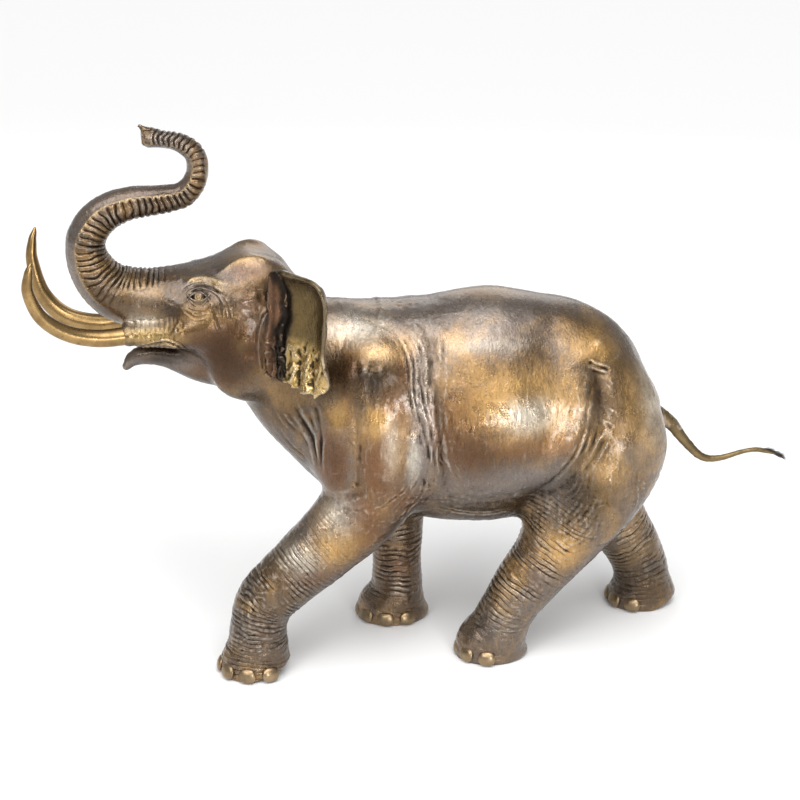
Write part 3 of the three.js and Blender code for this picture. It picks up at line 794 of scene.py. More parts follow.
class Tone(Enum):
    """The colours of the patina, the painted highlight and the painted shade, as they are laid on the metal.
    """

    GOLD = 0
    HONEY = 1
    RUST = 2
    SLATE = 3
    # painted highlight: pale metal where the lamps shine
    PAINTED_HIGHLIGHT = 4
    # dark patina together with painted shade in creases, hollows and on the lower and far parts
    DARK_AND_SHADE = 5


# Folds and ridges, laid on both sides: name, width, depth and the line each follows.
STROKES = [Stroke(*row) for row in (
    ("shoulder furrow", 7, 2.6, [
        (-73, -108, 409), (-72, -112, 372), (-71, -114, 343), (-74, -116, 302), (-72, -118, 284)]),
    ("forearm line 1", 1.9, 0.6, [(-95, -104, 360), (-82, -111, 339)]),
    ("forearm line 2", 1.9, 0.6, [(-89, -107, 367), (-75, -113, 345)]),
    ("fore lobe", 14, -2.6, [(-99, -100, 388), (-105, -100, 341), (-102, -105, 293)]),
    ("rear lobe", 21, -3.4, [(-42, -115, 400), (-37, -118, 360), (-29, -119, 319), (-43, -120, 289)]),
    ("triceps", 9, -2, [(-1, -117, 369), (9, -117, 330), (11, -112, 292)]),
    ("armpit fold 1", 1.9, 0.7, [
        (-34, -54, 498), (-12, -69, 485), (-4, -84, 472), (0, -96, 455), (-1, -108, 425), (4, -114, 392),
        (13, -117, 357), (18, -117, 324)]),
    ("armpit fold 2", 2.0, 0.9, [
        (-20, -51, 499), (1, -76, 480), (8, -94, 455), (6, -108, 423), (13, -115, 385), (23, -119, 342),
        (27, -116, 306)]),
    ("armpit fold 3", 2.1, 1.0, [
        (-4, -52, 500), (15, -76, 480), (20, -93, 455), (17, -107, 422), (24, -115, 384), (31, -120, 342),
        (32, -114, 296), (24, -97, 258)]),
    ("armpit fold 4", 7, 2.6, [
        (19, -48, 505), (32, -71, 487), (35, -91, 459), (31, -104, 432), (33, -113, 401), (38, -121, 356),
        (43, -121, 312), (50, -112, 275), (62, -98, 252)]),
    ("armpit fold 5", 2.6, 0.8, [
        (31, -43, 509), (46, -71, 489), (47, -92, 461), (43, -108, 424), (44, -119, 384), (51, -125, 343),
        (63, -123, 301), (80, -115, 269)]),
    ("elbow fold 1", 2.3, 1, [(27, -113, 295), (24, -97, 258), (8, -100, 232), (-8, -104, 214)]),
    ("elbow fold 2", 2.2, 1, [(23, -116, 311), (15, -105, 270), (-2, -103, 246), (-22, -108, 226)]),
    ("elbow fold 3", 2.2, 0.9, [(16, -116, 313), (2, -111, 281), (-14, -112, 261), (-34, -117, 243)]),
    ("elbow fold 4", 2, 0.7, [(4, -115, 304), (-12, -114, 280), (-29, -118, 268), (-46, -121, 255)]),
    ("elbow fold 5", 2.2, 1, [(24, -85, 236), (10, -95, 215), (-6, -102, 198)]),
    ("foot of the upper arm", 4.6, 1.4, [
        (-118, -88, 272), (-101, -109, 272), (-76, -118, 282), (-62, -119, 288)]),
    ("throat fold 1", 3.6, 1.4, [
        (-184, -63, 405), (-169, -62, 373), (-147, -67, 351), (-132, -74, 330)]),
    ("throat fold 2", 3.6, 1.4, [
        (-197, -56, 396), (-179, -50, 357), (-157, -48, 326), (-136, -58, 308)]),
    ("throat fold 3", 4.4, 2.2, [
        (-160, -70, 404), (-148, -73, 379), (-134, -77, 354), (-127, -80, 322), (-123, -81, 299)]),
    ("throat fold 4", 4.0, 1.9, [
        (-130, -80, 407), (-124, -85, 386), (-120, -88, 358), (-122, -87, 328), (-120, -88, 301)]),
    ("nape fold 1", 2.6, 0.9, [(-89, -3, 517), (-88, -42, 502), (-95, -64, 478)]),
    ("nape fold 2", 2.4, 0.9, [(-73, -9, 516), (-75, -43, 502), (-84, -63, 483), (-93, -76, 465)]),
    ("nape fold 3", 2.2, 0.7, [(-60, -17, 515), (-67, -47, 500), (-76, -62, 485)]),
    ("nape fold 4", 2.2, 0.6, [(-44, -26, 512), (-51, -51, 498), (-60, -66, 487)]),
    ("flank notch", 2.6, 3.6, [(247, -89, 450), (262, -91, 442), (281, -89, 435)]),
    ("flank lip", 9, -1.0, [(232, -86, 458), (257, -84, 455), (282, -81, 446)]),
    ("flank crease", 13, 4.5, [
        (264, -90, 444), (261, -95, 435), (259, -108, 411), (255, -118, 379), (247, -124, 348),
        (233, -128, 315), (214, -124, 290), (192, -116, 268), (169, -104, 250), (152, -90, 233)], 0.1),
    ("flank bulge", 18, -3, [(222, -116, 372), (205, -124, 330), (182, -122, 300), (150, -112, 274)]),
    ("flank crease line", 3.2, 2.6, [
        (261, -95, 435), (257, -108, 411), (252, -118, 379), (244, -124, 348), (229, -128, 315),
        (210, -124, 290), (188, -116, 268), (165, -104, 250)]),
    ("flank crease behind", 4.0, 2.0, [(271, -123, 354), (252, -129, 323), (236, -129, 300)]),
    ("chevron 1", 2, 1, [(265, -96, 432), (281, -102, 415)]),
    ("chevron 2", 2, 1.1, [(262, -106, 414), (284, -111, 396)]),
    ("chevron 3", 2, 1.1, [(260, -114, 396), (284, -116, 378)]),
    ("chevron 4", 2, 1, [(257, -119, 377), (280, -121, 361)]),
    ("barrel arc 1", 2.4, 0.5, [
        (224, -101, 425), (229, -113, 396), (227, -120, 361), (212, -123, 332)]),
    ("barrel arc 2", 2.4, 0.6, [
        (239, -104, 420), (243, -116, 388), (239, -122, 355), (224, -125, 324), (201, -122, 298)]),
    ("stifle arc 1", 2.4, 1.4, [
        (235, -128, 305), (228, -128, 277), (203, -121, 255), (182, -109, 241)]),
    ("stifle arc 2", 2.6, 1.4, [
        (248, -130, 309), (242, -131, 273), (222, -130, 240), (196, -123, 220), (170, -103, 207)]),
    ("stifle arc 3", 2.6, 1.2, [
        (259, -131, 293), (249, -133, 253), (225, -132, 221), (191, -124, 200), (159, -102, 182)]),
    ("stifle arc 4", 2.6, 0.9, [
        (268, -132, 268), (257, -133, 235), (236, -132, 203), (208, -131, 184)]),
    ("belly seam", 3.0, 2.6, [(39, -90, 245), (87, -90, 232), (121, -91, 231), (148, -93, 237)]),
    ("belly seam below", 2.2, 1.2, [(50, -68, 226), (90, -66, 216), (130, -68, 218)]),
    ("thigh muscle", 19, -3.4, [
        (321, -98, 392), (304, -120, 344), (279, -131, 291), (248, -133, 232), (220, -130, 169)]),
    ("thigh hollow", 13, 2.6, [(339, -104, 349), (320, -121, 297), (297, -125, 240), (267, -121, 186)]),
    ("hip bone", 14, -3.2, [(261, -67, 475), (277, -72, 461), (293, -76, 444)]),
    ("brow", 4.6, -2.4, [
        (-294, -41, 566), (-288, -37, 571), (-277, -37, 574), (-262, -43, 574), (-251, -49, 571),
        (-240, -57, 563)]),
    ("brow tail", 2.8, -1.2, [(-257, -50, 569), (-245, -59, 559)]),
    ("lid fold", 1.9, 3.0, [
        (-299, -48, 556), (-289, -46, 563), (-275, -46, 566), (-260, -54, 564), (-247, -60, 556)]),
    ("eye bag 1", 1.3, 1.1, [(-297, -55, 544), (-288, -60, 536), (-273, -64, 536), (-261, -63, 545)]),
    ("eye bag 2", 1.6, 1.2, [(-298, -57, 535), (-283, -65, 527), (-267, -68, 531)]),
    ("eye bag 3", 1.4, 0.8, [(-301, -52, 548), (-299, -56, 538), (-293, -60, 530)]),
    ("behind the eye 1", 1.6, 1.1, [(-255, -60, 555), (-249, -65, 544), (-249, -69, 527)]),
    ("behind the eye 2", 1.6, 1, [(-247, -61, 555), (-240, -66, 540), (-238, -70, 524)]),
    ("behind the eye 3", 1.6, 0.9, [(-261, -65, 540), (-256, -70, 524), (-251, -72, 509)]),
    ("temple ridge", 5, -1.8, [
        (-253, -43, 578), (-236, -38, 589), (-216, -34, 598), (-195, -32, 598), (-179, -38, 590)]),
    ("cheekbone", 8, -2.2, [(-232, -64, 550), (-214, -64, 547), (-196, -60, 552)]),
    ("fold before the ear", 3.4, 2.6, [
        (-192, -64, 548), (-189, -73, 528), (-195, -73, 499), (-195, -74, 471), (-191, -71, 436)]),
    ("muzzle furrow", 2.9, 1.1, [(-300, -61, 521), (-308, -66, 506), (-316, -66, 497)]),
    ("mouth", 2.2, 3.2, [
        (-367, -52, 483), (-343, -58, 489), (-324, -64, 493), (-309, -63, 487), (-300, -52, 478)]),
    ("mouth curl", 1.6, 1.2, [(-319, -59, 484), (-306, -65, 489), (-295, -57, 481), (-288, -44, 466)]),
    ("jaw hollow", 8, 1.2, [(-352, -10, 449), (-326, -20, 453), (-292, -31, 447)]),
)]

# Hollows and lumps, on both sides.
DABS = [Dab(*row) for row in (
    ((-44, -106, 436), (30, 30, 23), 3.8),
    ((-44, -70, 510), (66, 46, 30), -5.5),
    ((-62, -99, 453), (6, 8, 5.5), -3.6),
    ((-40, -103, 452), (6, 8, 5.5), -3.2),
    ((-70, -97, 461), (5, 6, 4), 2.6),
    ((-51, -102, 460), (5, 6, 4), 2.4),
    ((-212, -49, 583), (30, 22, 13), 3.0),
    ((-219, -75, 493), (9, 12, 9), -2.4),
    ((-214, -76, 478), (9, 12, 7), 1.6),
    ((-309, -64, 509), (6, 8, 6), -3.4),
    ((268, -111, 402), (13, 22, 32), 2.2),
    ((-279, -56, 553), (19, 16, 13), 3.4),
    ((318, -70, 420), (34, 40, 30), -2.0),
    ((150, -112, 400), (60, 40, 50), -2.5),
)]

# Where the patina was rubbed back or built up, and where highlights and shade are painted: middle (x, y, z),
# radii (x, y, z) and strength of each patch, by tone. Paired patches lie on both sides of the animal, single
# ones where they stand.
PAIRED_PATCHES = {
    Tone.GOLD: [
        (-282, -38, 572, 14, 30, 3, 0.45), (-254, -49, 570, 16, 30, 3, 0.4),
        (-279, -58, 552, 6, 20, 4, 0.4), (-345, -58, 501, 40, 30, 12, 0.55)],
    Tone.HONEY: [
        (150, -114, 402, 70, 50, 44, 0.9), (266, -77, 463, 40, 46, 26, 0.7),
        (321, -98, 380, 26, 46, 70, 0.75), (268, -132, 299, 40, 46, 51, 0.6),
        (-36, -81, 478, 44, 46, 14, 0.5), (-97, -100, 391, 14, 46, 21, 0.75),
        (-47, -116, 383, 18, 46, 20, 0.8), (-20, -119, 344, 20, 46, 39, 0.45),
        (-225, -74, 489, 11, 46, 15, 0.5), (-212, -33, 598, 37, 46, 8, 0.45),
        (-271, -67, 530, 23, 46, 15, 0.45), (-280, -61, 540, 14, 20, 6, 0.25),
        (136, 0, 530, 85, 60, 9, 0.35), (343, -105, 335, 14, 46, 60, 0.25),
        (90, -104, 438, 60, 46, 24, 0.5), (215, -118, 420, 30, 46, 34, 0.6)],
    Tone.RUST: [
        (78, -126, 372, 46, 46, 60, 0.95), (148, -129, 345, 74, 46, 20, 0.8),
        (-77, -90, 459, 14, 46, 33, 0.55), (-8, -100, 451, 11, 46, 30, 0.55),
        (-105, -101, 324, 18, 46, 42, 1.0), (-87, -105, 387, 11, 46, 60, 0.5),
        (-40, -119, 328, 28, 46, 51, 0.95), (-8, -111, 267, 37, 46, 30, 0.6),
        (-242, -72, 485, 50, 46, 34, 0.95), (-260, -55, 441, 43, 46, 18, 0.7),
        (-212, -50, 584, 28, 46, 16, 0.6), (-210, -63, 548, 26, 46, 24, 0.55),
        (-160, -62, 358, 28, 46, 45, 0.25), (-330, 0, 700, 130, 60, 80, 0.3),
        (-22, -118, 400, 22, 46, 40, 0.6)],
    Tone.SLATE: [
        (19, -115, 385, 20, 60, 135, 0.8), (95, -40, 520, 130, 60, 27, 0.7),
        (123, -110, 290, 99, 70, 26, 0.9), (332, -42, 430, 24, 60, 75, 0.4),
        (-245, 0, 598, 70, 60, 18, 0.8), (-313, -20, 449, 60, 46, 13, 0.8)],
    # painted highlights: pale patches where the lamps shine on barrel, back, neck, rump and trunk root
    Tone.PAINTED_HIGHLIGHT: [
        (160, -116, 386, 34, 46, 21, 0.85), (3, -117, 324, 9, 46, 33, 0.6),
        (-66, -50, 500, 36, 60, 18, 0.52), (345, -90, 400, 24, 46, 66, 0.6),
        (119, -87, 478, 64, 40, 9, 0.3), (-352, -36, 519, 28, 30, 9, 0.6),
        (-27, -119, 348, 12, 46, 40, 0.5)],
    # painted shade in creases, hollows and under the belly and jaw, with darker patina on the head
    Tone.DARK_AND_SHADE: [
        (-46, -104, 442, 31, 50, 25, 0.8), (262, -112, 396, 11, 46, 40, 0.6),
        (-236, -60, 480, 64, 40, 70, 0.72), (-212, -50, 560, 44, 40, 32, 0.56),
        (240, -128, 270, 46, 46, 44, 0.72), (-320, -20, 466, 46, 20, 14, 0.75),
        (-330, -20, 446, 60, 40, 20, 0.3), (140, -60, 232, 150, 60, 30, 0.45),
        (-330, -18, 453, 36, 20, 9, 0.7), (92, -126, 356, 60, 46, 64, 0.52),
        (184, -120, 272, 46, 46, 22, 0.6), (44, -116, 330, 16, 46, 110, 0.4),
        (-316, -50, 528, 50, 44, 34, 0.55), (266, -128, 332, 26, 46, 52, 0.6),
        (-279, -60, 552, 17, 24, 9, 0.32), (-103, -104, 330, 20, 46, 54, 0.42),
        (-150, -70, 400, 46, 50, 80, 0.46)],
}

SINGLE_PATCHES = {
    Tone.HONEY: [
        (216, -131, 180, 32, 46, 32, 0.75), (-100, -125, 204, 31, 46, 30, 0.75),
        (-230, -110, 115, 17, 46, 9, 0.5), (138, -94, 150, 14, 46, 30, 0.45),
        (-40, 120, 300, 28, 46, 45, 0.5), (300, 118, 235, 28, 46, 45, 0.55)],
    Tone.RUST: [
        (181, -128, 140, 20, 46, 39, 0.4), (-72, -123, 232, 34, 46, 45, 0.95),
        (-131, -123, 158, 34, 46, 18, 0.55), (-209, -124, 83, 20, 46, 33, 0.35),
        (1, 40, 90, 30, 60, 45, 0.55), (345, 100, 150, 24, 46, 40, 0.45)],
    Tone.SLATE: [
        (254, -114, 161, 20, 46, 45, 0.5), (-215, -84, 69, 60, 70, 50, 0.5),
        (0, 69, 60, 70, 70, 40, 0.35)],
    # painted highlights on the near forearm
    Tone.PAINTED_HIGHLIGHT: [
        (-101, -118, 248, 24, 46, 28, 0.55), (-155, -120, 188, 26, 46, 21, 0.5),
    ],
    # painted shade on the lower legs and the far legs
    Tone.DARK_AND_SHADE: [
        (364, 40, 70, 60, 70, 70, 0.55), (-205, -80, 80, 74, 60, 90, 0.46),
        (126, -70, 50, 66, 70, 60, 0.34), (-84, -123, 226, 50, 46, 46, 0.32),
        (0, 60, 120, 60, 70, 130, 0.26)],
}


SMALL_ROLLS = 2.13       # small rolls of skin to each large one


@dataclass
class Wrinkles:
    """Rolls of skin that run round a limb."""

    limb: Limb
    heights: Pairs
    pitch: float
    front: float
    top: float
    seed: int

    def turns(self, p: Array, grain: Grain) -> tuple[Array, Array, Array]:
        """Which roll each point lies on.

        Args:
            p: Points on the skin.
            grain: Unevenness that keeps the rolls from being regular.

        Returns:
            The numbers of the points on this limb, the count of rolls to each and how deep the rolls run.
        """
        roof = np.minimum(self.limb.high + 12, (OPEN, OPEN, self.top))
        idx = within(p, self.limb.low - 12, roof)
        s, a, b, wide, deep, out = self.limb.around(p[idx])
        angle = np.arctan2(a / wide, -b / deep)
        on = eased(out, 0.72, 0.86) * (1 - eased(out, 1.28, 1.5))
        z = np.interp(s, self.limb.reach, self.limb.line[:, 2])
        levels, depths = zip(*self.heights)
        depth = np.interp(z, levels, depths)
        q = np.stack([s / 26, 0 * s + self.seed, angle * 1.5], 1)
        warp = 0.5 * grain.at(q) + 0.2 * grain.at(q * 2.3)
        spots = grain.at(np.stack([s / 14, 0 * s + self.seed + 9, angle * 2.2], 1))
        here = np.clip(0.75 + 0.9 * spots, 0.1, 1.3)
        bias = 1 - self.front * eased(np.abs(angle), 1.0, 2.4)
        return idx, s / self.pitch + warp, on * depth * here * bias

    def press(self, p: Array, grain: Grain) -> tuple[Array, Array]:
        """How far the furrows between the rolls sink the skin at the points of this limb.

        Args:
            p: Points on the skin.
            grain: Unevenness that keeps the rolls irregular.

        Returns:
            The numbers of the points and the depth at each.
        """
        idx, phase, depth = self.turns(p, grain)
        roll = 1 - folded_back(phase) ** 2.4
        small = 1 - folded_back(SMALL_ROLLS * phase) ** 2
        return idx, -depth * (roll - 0.72 + 0.35 * (small - 0.6))


@dataclass
class TrunkRings:
    """The trunk's rings, its smooth underside and the two edges between."""

    limb: Limb
    depth: float = 2.7
    edge: float = 1.07
    ahead_of: float = -262.0
    above: float = 470.0
    pitches: Pairs = ((0, 9.5), (150, 9.5), (330, 9.0), (470, 7.6), (560, 6.2),
                                              (700, 5.0))
    depths: Pairs = ((0, 0.8), (200, 1), (470, 0.9), (560, 0.72), (660, 0.5),
                                             (720, 0.3))

    def press(self, p: Array, grain: Grain) -> tuple[Array, Array, Array, Array]:
        """How far the rings sink the skin, and where the raised edges and underside lie.

        Args:
            p: Points on the skin.
            grain: Unevenness that makes rings fork and fade.

        Returns:
            The numbers of the points, the depth at each, rows of edge, underside and ring strength, and
            rows of the count of rings and how deep they run.
        """
        floor = np.maximum(self.limb.low - 10, (-OPEN, -OPEN, self.above))
        roof = np.minimum(self.limb.high + 10, (self.ahead_of, OPEN, OPEN))
        idx = within(p, floor, roof)
        s, a, b, wide, deep, out = self.limb.around(p[idx])
        angle = np.abs(np.arctan2(a / wide, b / deep))
        on = eased(out, 0.7, 0.85) * (1 - eased(out, 1.2, 1.4))
        fine = np.linspace(0, self.limb.reach[-1], 400)
        pitch = np.interp(fine, *zip(*self.pitches))
        turns = np.r_[0, np.cumsum(np.diff(fine) / pitch[1:])]
        signed = np.arctan2(a, b)
        q = np.stack([s / 34, signed * 1.1, 0 * s], 1)
        warp = 0.42 * grain.at(q) + 0.22 * grain.at(q * 2.1 + 5)
        phase = np.interp(s, fine, turns) + warp
        roll = 1 - folded_back(phase) ** 2.2
        half = folded_back(2 * (phase - np.floor(phase))) ** 6
        fork = eased(grain.at(np.stack([s / 16, signed * 2.5 + 3, 0 * s + 7], 1)), 0.15, 0.5)
        start = 62 + 74 * (1 - eased(angle, 1.9, 2.6))
        band = eased(angle, self.edge - 0.02, self.edge + 0.16)
        amount = np.interp(s, *zip(*self.depths)) * eased(s, start, start + 60)
        uneven = 0.85 + 0.45 * grain.at(np.stack([s / 11, signed * 1.9, 0 * s + 2], 1))
        rings = self.depth * amount * band * uneven * (roll - 0.7 - 0.35 * fork * half)
        under = (1 - band) * eased(s, 120, 190)
        faint = 0.3 * under * (1 - folded_back(2 * phase) ** 2)
        lip = hump((angle - self.edge) * np.minimum(wide, deep), 1.9)
        lip = lip * eased(s, 130, 190) * (1 - eased(s, 560, 640))
        rise = rings + faint - 1.3 * under + 1.2 * lip
        marks = np.stack([lip * on, under * on, on * eased(s, 60, 140) * band], 1)
        return idx, -on * rise, marks, np.stack([phase, on * amount * band], 1)


@dataclass
class Eye:
    """An eye under its heavy lids."""

    at: Point = (-279.0, -56.5, 552.0)
    forward: Point = (-0.975, 0.22, 0.0)
    half_long: float = 11.0
    upper: float = 5.0
    lower: float = 4.2
    ball: float = 8.2
    sunk: float = 5.2
    room: float = 24.0

    def press(self, p: Array) -> tuple[Array, Array]:
        """How far lids, ball and folds sink the skin.

        Args:
            p: Points folded onto the near side.

        Returns:
            The numbers of the points about the eye and the depth at each.
        """
        q = p - np.array(self.at)
        idx = np.flatnonzero((np.abs(q) < self.room).all(1))
        q = q[idx]
        e = q @ -np.array(self.forward)
        u = q[:, 2] - 0.04 * e
        r = np.hypot(e, u)
        arch = np.maximum(1 - (e / self.half_long) ** 2, -1.2)
        top, bottom = self.upper * arch, -self.lower * arch
        inside = eased(np.minimum(top - u, u - bottom), -0.3, 0.5)
        ball = np.sqrt(np.maximum(self.ball ** 2 - r * r, 0)) - self.sunk
        ring = -0.7 * hump(r - 3.0, 0.7) - 0.6 * hump(r, 1.0)
        lid = 1.9 * hump(u - top - 1.1, 1.1) + 1.5 * hump(u - bottom + 1.0, 1.0)
        crease = 1.7 * hump(u - top * 1.25 - 3.4, 0.9) + 1.4 * hump(u - bottom * 1.3 + 3.0, 0.9)
        crease += 1.2 * hump(u - bottom * 1.7 + 5.6, 1.0)
        rise = inside * (ball + ring) + (1 - inside) * (lid - crease)
        fade = 1 - eased(np.hypot(e / 1.35, u), 9.5, 14.5)
        return idx, -rise * fade


class Relief:
    """Everything cut into the skin after the clay is laid, and the marks the patina, the painted highlights
    and the painted shade follow.
    """

    SEED = 41
    SHADED_FROM = 4.0        # a broad stroke deeper than this gets dark patina and painted shade in it
    PATCH_EDGE = 0.62        # how sharply a patch of patina, painted highlight or painted shade ends, lower is softer

    def __init__(self, skin: Skin, clay: "ElephantClay") -> None:
        """Starts with a smooth skin and no marks.

        Args:
            skin: The skin to cut.
            clay: The forms it was taken from.
        """
        self.skin = skin
        self.clay = clay
        self.grain = Grain(self.SEED)
        self.tones = {tone: np.zeros(len(skin.points), np.float32) for tone in Tone}

    def cut(self) -> None:
        """Cuts the relief from the largest forms to the finest."""
        self.broad()
        self.ringed()
        self.lined()
        self.flapped()
        self.skinned()
        self.seen()

    def sink(self, amount: Array, idx: Array | None = None) -> None:
        """Moves the skin inward by an amount at the points given.

        Args:
            amount: Depth at each point, negative where the skin is raised.
            idx: The numbers of the points, or None for all of them.
        """
        normals = self.skin.normals()
        if idx is None:
            self.skin.points = self.skin.points - normals * amount[:, None]
        else:
            self.skin.points[idx] -= normals[idx] * amount[:, None]

    def lay(self, tone: Tone, idx: Array | slice, amount: Array) -> None:
        """Lays a tone at the points given, where it is stronger than what is there."""
        self.tones[tone][idx] = np.maximum(self.tones[tone][idx], amount)

    def broad(self) -> None:
        """Sculptor's unevenness and the wide hollows and muscles."""
        p = near_side(self.skin.points)
        rise = 0.9 * self.grain.at(self.skin.points / 46) + 0.5 * self.grain.at(self.skin.points / 21 + 3)
        amount = -rise * eased(p[:, 2], 10, 40)
        for dab in DABS:
            amount += dab.deep * dab.weight(p)
        for stroke in STROKES:
            if stroke.wide >= BROAD:
                idx, deep = stroke.press(p)
                amount[idx] += deep
                # deep broad folds are darkened: dark patina and painted shade
                if stroke.deep > self.SHADED_FROM:
                    self.lay(Tone.DARK_AND_SHADE, idx, 0.55 * (deep / stroke.deep) ** 1.6)
        self.sink(amount)

    def ringed(self) -> None:
        """The trunk's rings, the tusk sheaths' rings and the rolls of the legs."""
        p = self.skin.points
        amount = np.zeros(len(p))
        idx, deep, marks, _ = TrunkRings(self.clay.trunk).press(p, self.grain)
        amount[idx] += deep
        self.lay(Tone.GOLD, idx, 0.42 * marks[:, 0])
        self.lay(Tone.SLATE, idx, 0.7 * marks[:, 1])
        self.lay(Tone.DARK_AND_SHADE, idx, 0.34 * marks[:, 2])
        for wrinkles in self.clay.wrinkles():
            idx, deep = wrinkles.press(p, self.grain)
            amount[idx] += deep
        q = near_side(p)
        idx = within(q, (-OPEN, -OPEN, 470), (-290, -24, 530))
        sheath = self.clay.sheath
        s, a, b, _, _, out = sheath.around(q[idx])
        on = eased(out, 0.75, 0.9) * (1 - eased(out, 1.2, 1.35))
        phase = s / 6.4 + 0.25 * self.grain.at(np.stack([s / 9, a / 9, b / 9], 1))
        rings = 0.8 * (folded_back(phase) ** 2.2 - 0.3) * eased(s, 22, 50)
        collar = 1.6 * hump(s - sheath.reach[-1] + 6, 2.0)
        amount[idx] += on * (rings + collar)
        self.sink(amount)

    def lined(self) -> None:
        """The drawn folds of the body and face, and the eyes."""
        p = near_side(self.skin.points)
        amount = np.zeros(len(p))
        for turn, stroke in enumerate(STROKES):
            if stroke.wide < BROAD:
                idx, deep = stroke.press(p)
                # sunk folds are darkened by their depth: patina in the fold and painted shade
                if stroke.deep > 0:
                    tone, share = Tone.DARK_AND_SHADE, 0.26 * min(stroke.deep, 3.6)
                    deep = deep * np.clip(0.9 + 0.8 * self.grain.at(p[idx] / 34 + turn), 0.45, 1.4)
                else:
                    tone, share = Tone.GOLD, 0.34
                amount[idx] += deep
                self.lay(tone, idx, share * deep / stroke.deep)
        self.sink(amount)
        idx, deep = Eye().press(near_side(self.skin.points))
        self.sink(deep, idx)

    def flapped(self) -> None:
        """The crumpled lobes, veins and deep root of each ear, with a painted shadow in the root."""
        for ear in self.clay.ears:
            p = self.skin.points
            a, h, n = ear.local(p)
            edge = ear.outline(a, h)
            idx = np.flatnonzero((edge < 7) & (np.abs(n - ear.bow(a, h)) < 11) & (a > -4))
            a, h, n, edge = a[idx], h[idx], n[idx], edge[idx]
            front = eased(n - ear.bow(a, h), -1.0, 2.5)
            low = eased(-h, 8, 34)
            q = np.stack([a / 8.5, h / 11.5, 0 * a + ear.side], 1)
            w = self.grain.at(q * 0.6) * 1.3
            crumple = 1 - np.abs(self.grain.at(q + w[:, None])) * 2.4
            fine = 1 - np.abs(self.grain.at(q * 2.1 + w[:, None] + 4)) * 2.2
            amount = -front * low * (1.6 * crumple + 0.8 * fine - 1.0)
            branches = self.grain.at(np.stack([a / 16 - h / 30, h / 30, 0 * a + 2], 1))
            vein = 1 - np.abs(branches) * 3
            amount -= front * (1 - low) * 0.5 * np.clip(vein, 0, 1)
            root = a - 15 - 2.2 * np.sin(h / 15) - 1.2 * np.sin(h / 6)
            amount += front * 7.0 * hump(root, 6.5) * eased(h, -86, -40)
            amount -= (1 - front) * 0.8 * self.grain.at(q * 1.2 + 9)
            self.sink(amount, idx)
            inner = front * eased(a, 14, 24)
            self.lay(Tone.GOLD, idx, 0.7 * inner)
            rim = hump(edge + 3, 5) * eased(a, 12, 30)
            self.lay(Tone.GOLD, idx, 0.6 * rim * (0.4 + 0.6 * front))
            lobes = inner * low * np.clip(1.4 * crumple - 0.3, 0, 1)
            self.lay(Tone.GOLD, idx, 0.6 * lobes)
            # painted shadow in the ear's root and along its inner edge, with darker patina over the upper ear
            dark = 1.5 * hump(root, 7.5) + 0.6 * hump(a - 2, 4) + 0.7 * (1 - low) * eased(a, 12, 20)
            self.lay(Tone.DARK_AND_SHADE, idx, front * dark)
            self.lay(Tone.RUST, idx, front * (1 - eased(root, -6, 0)))

    def skinned(self) -> None:
        """Hair-fine strokes of the flanks and the crossing lines of old skin."""
        p = self.skin.points
        q = near_side(p)
        height = eased(p[:, 2], 6, 22)
        warp = self.grain.at(p / 24)[:, None] * np.array([7.0, 4.0, 5.0])
        x = p + warp
        flank = eased(q[:, 0], -150, -60) * eased(q[:, 2], 210, 280)
        upright = 1 - np.abs(self.grain.at(x / np.array([4.6, 7.0, 24.0]))) * 2
        slanted = 1 - np.abs(self.grain.at(x / np.array([8.0, 8.0, 14.0]) + 11)) * 2
        crossing = 1 - np.abs(self.grain.at(x / np.array([11.0, 9.0, 5.4]) + 17)) * 2
        pebble = self.grain.at(p / 3.6)
        patch = 0.6 + 0.8 * self.grain.at(p / 58 + 21)
        legs = 1 - eased(q[:, 2], 250, 320)
        face = eased(-q[:, 0], 170, 220)
        rise = flank * np.clip(patch, 0.1, 1.4) * (0.5 * upright + 0.25 * slanted)
        rise += legs * (0.6 * crossing + 0.35 * slanted) + face * (0.3 * slanted + 0.26 * crossing)
        bundle = hump(q[:, 0] - 28, 34) * eased(q[:, 2], 250, 330) * (1 - eased(q[:, 2], 440, 495))
        bundle += np.exp(-((q[:, 0] - 215) / 55) ** 2 - ((q[:, 2] - 235) / 55) ** 2)
        flowing = 1 - np.abs(self.grain.at((p + 0.6 * warp) / np.array([4.4, 9.0, 56.0]) + 5)) * 2
        rise += bundle * (0.9 * flowing + 0.25 * upright)
        rise += 0.16 * pebble
        self.sink(-rise * height * 0.9)

    def seen(self) -> None:
        """Marks the listed tones, painted highlights and painted shade among them, the hollows, the worn
        heights and a painted shade on faces that look down.
        """
        p = self.skin.points
        for x, patches in ((near_side(p), PAIRED_PATCHES), (p, SINGLE_PATCHES)):
            for tone, rows in patches.items():
                for row in rows:
                    away = (((x - np.array(row[:3])) / np.array(row[3:6])) ** 2).sum(1)
                    self.lay(tone, slice(None), row[6] * np.exp(-self.PATCH_EDGE * away))
        normals = self.skin.normals()
        close = ((self.skin.evened(p, 3) - p) * normals).sum(1)
        wide = ((self.skin.evened(p, 22) - p) * normals).sum(1)
        # the hollows are darkened in the finish: patina in them and painted shade over them
        self.hollow = np.clip(close / 0.6, 0, 1) * 0.62 + np.clip(wide / 2.2, 0, 1) * 0.55
        self.height = np.clip(-close / 0.4, 0, 1) * 0.7 + np.clip(-wide / 2.0, 0, 1) * 0.4
        # painted shade: darker where the skin faces down
        self.shade = eased(-normals[:, 2], -0.2, 0.8)


# ---- the elephant's own forms

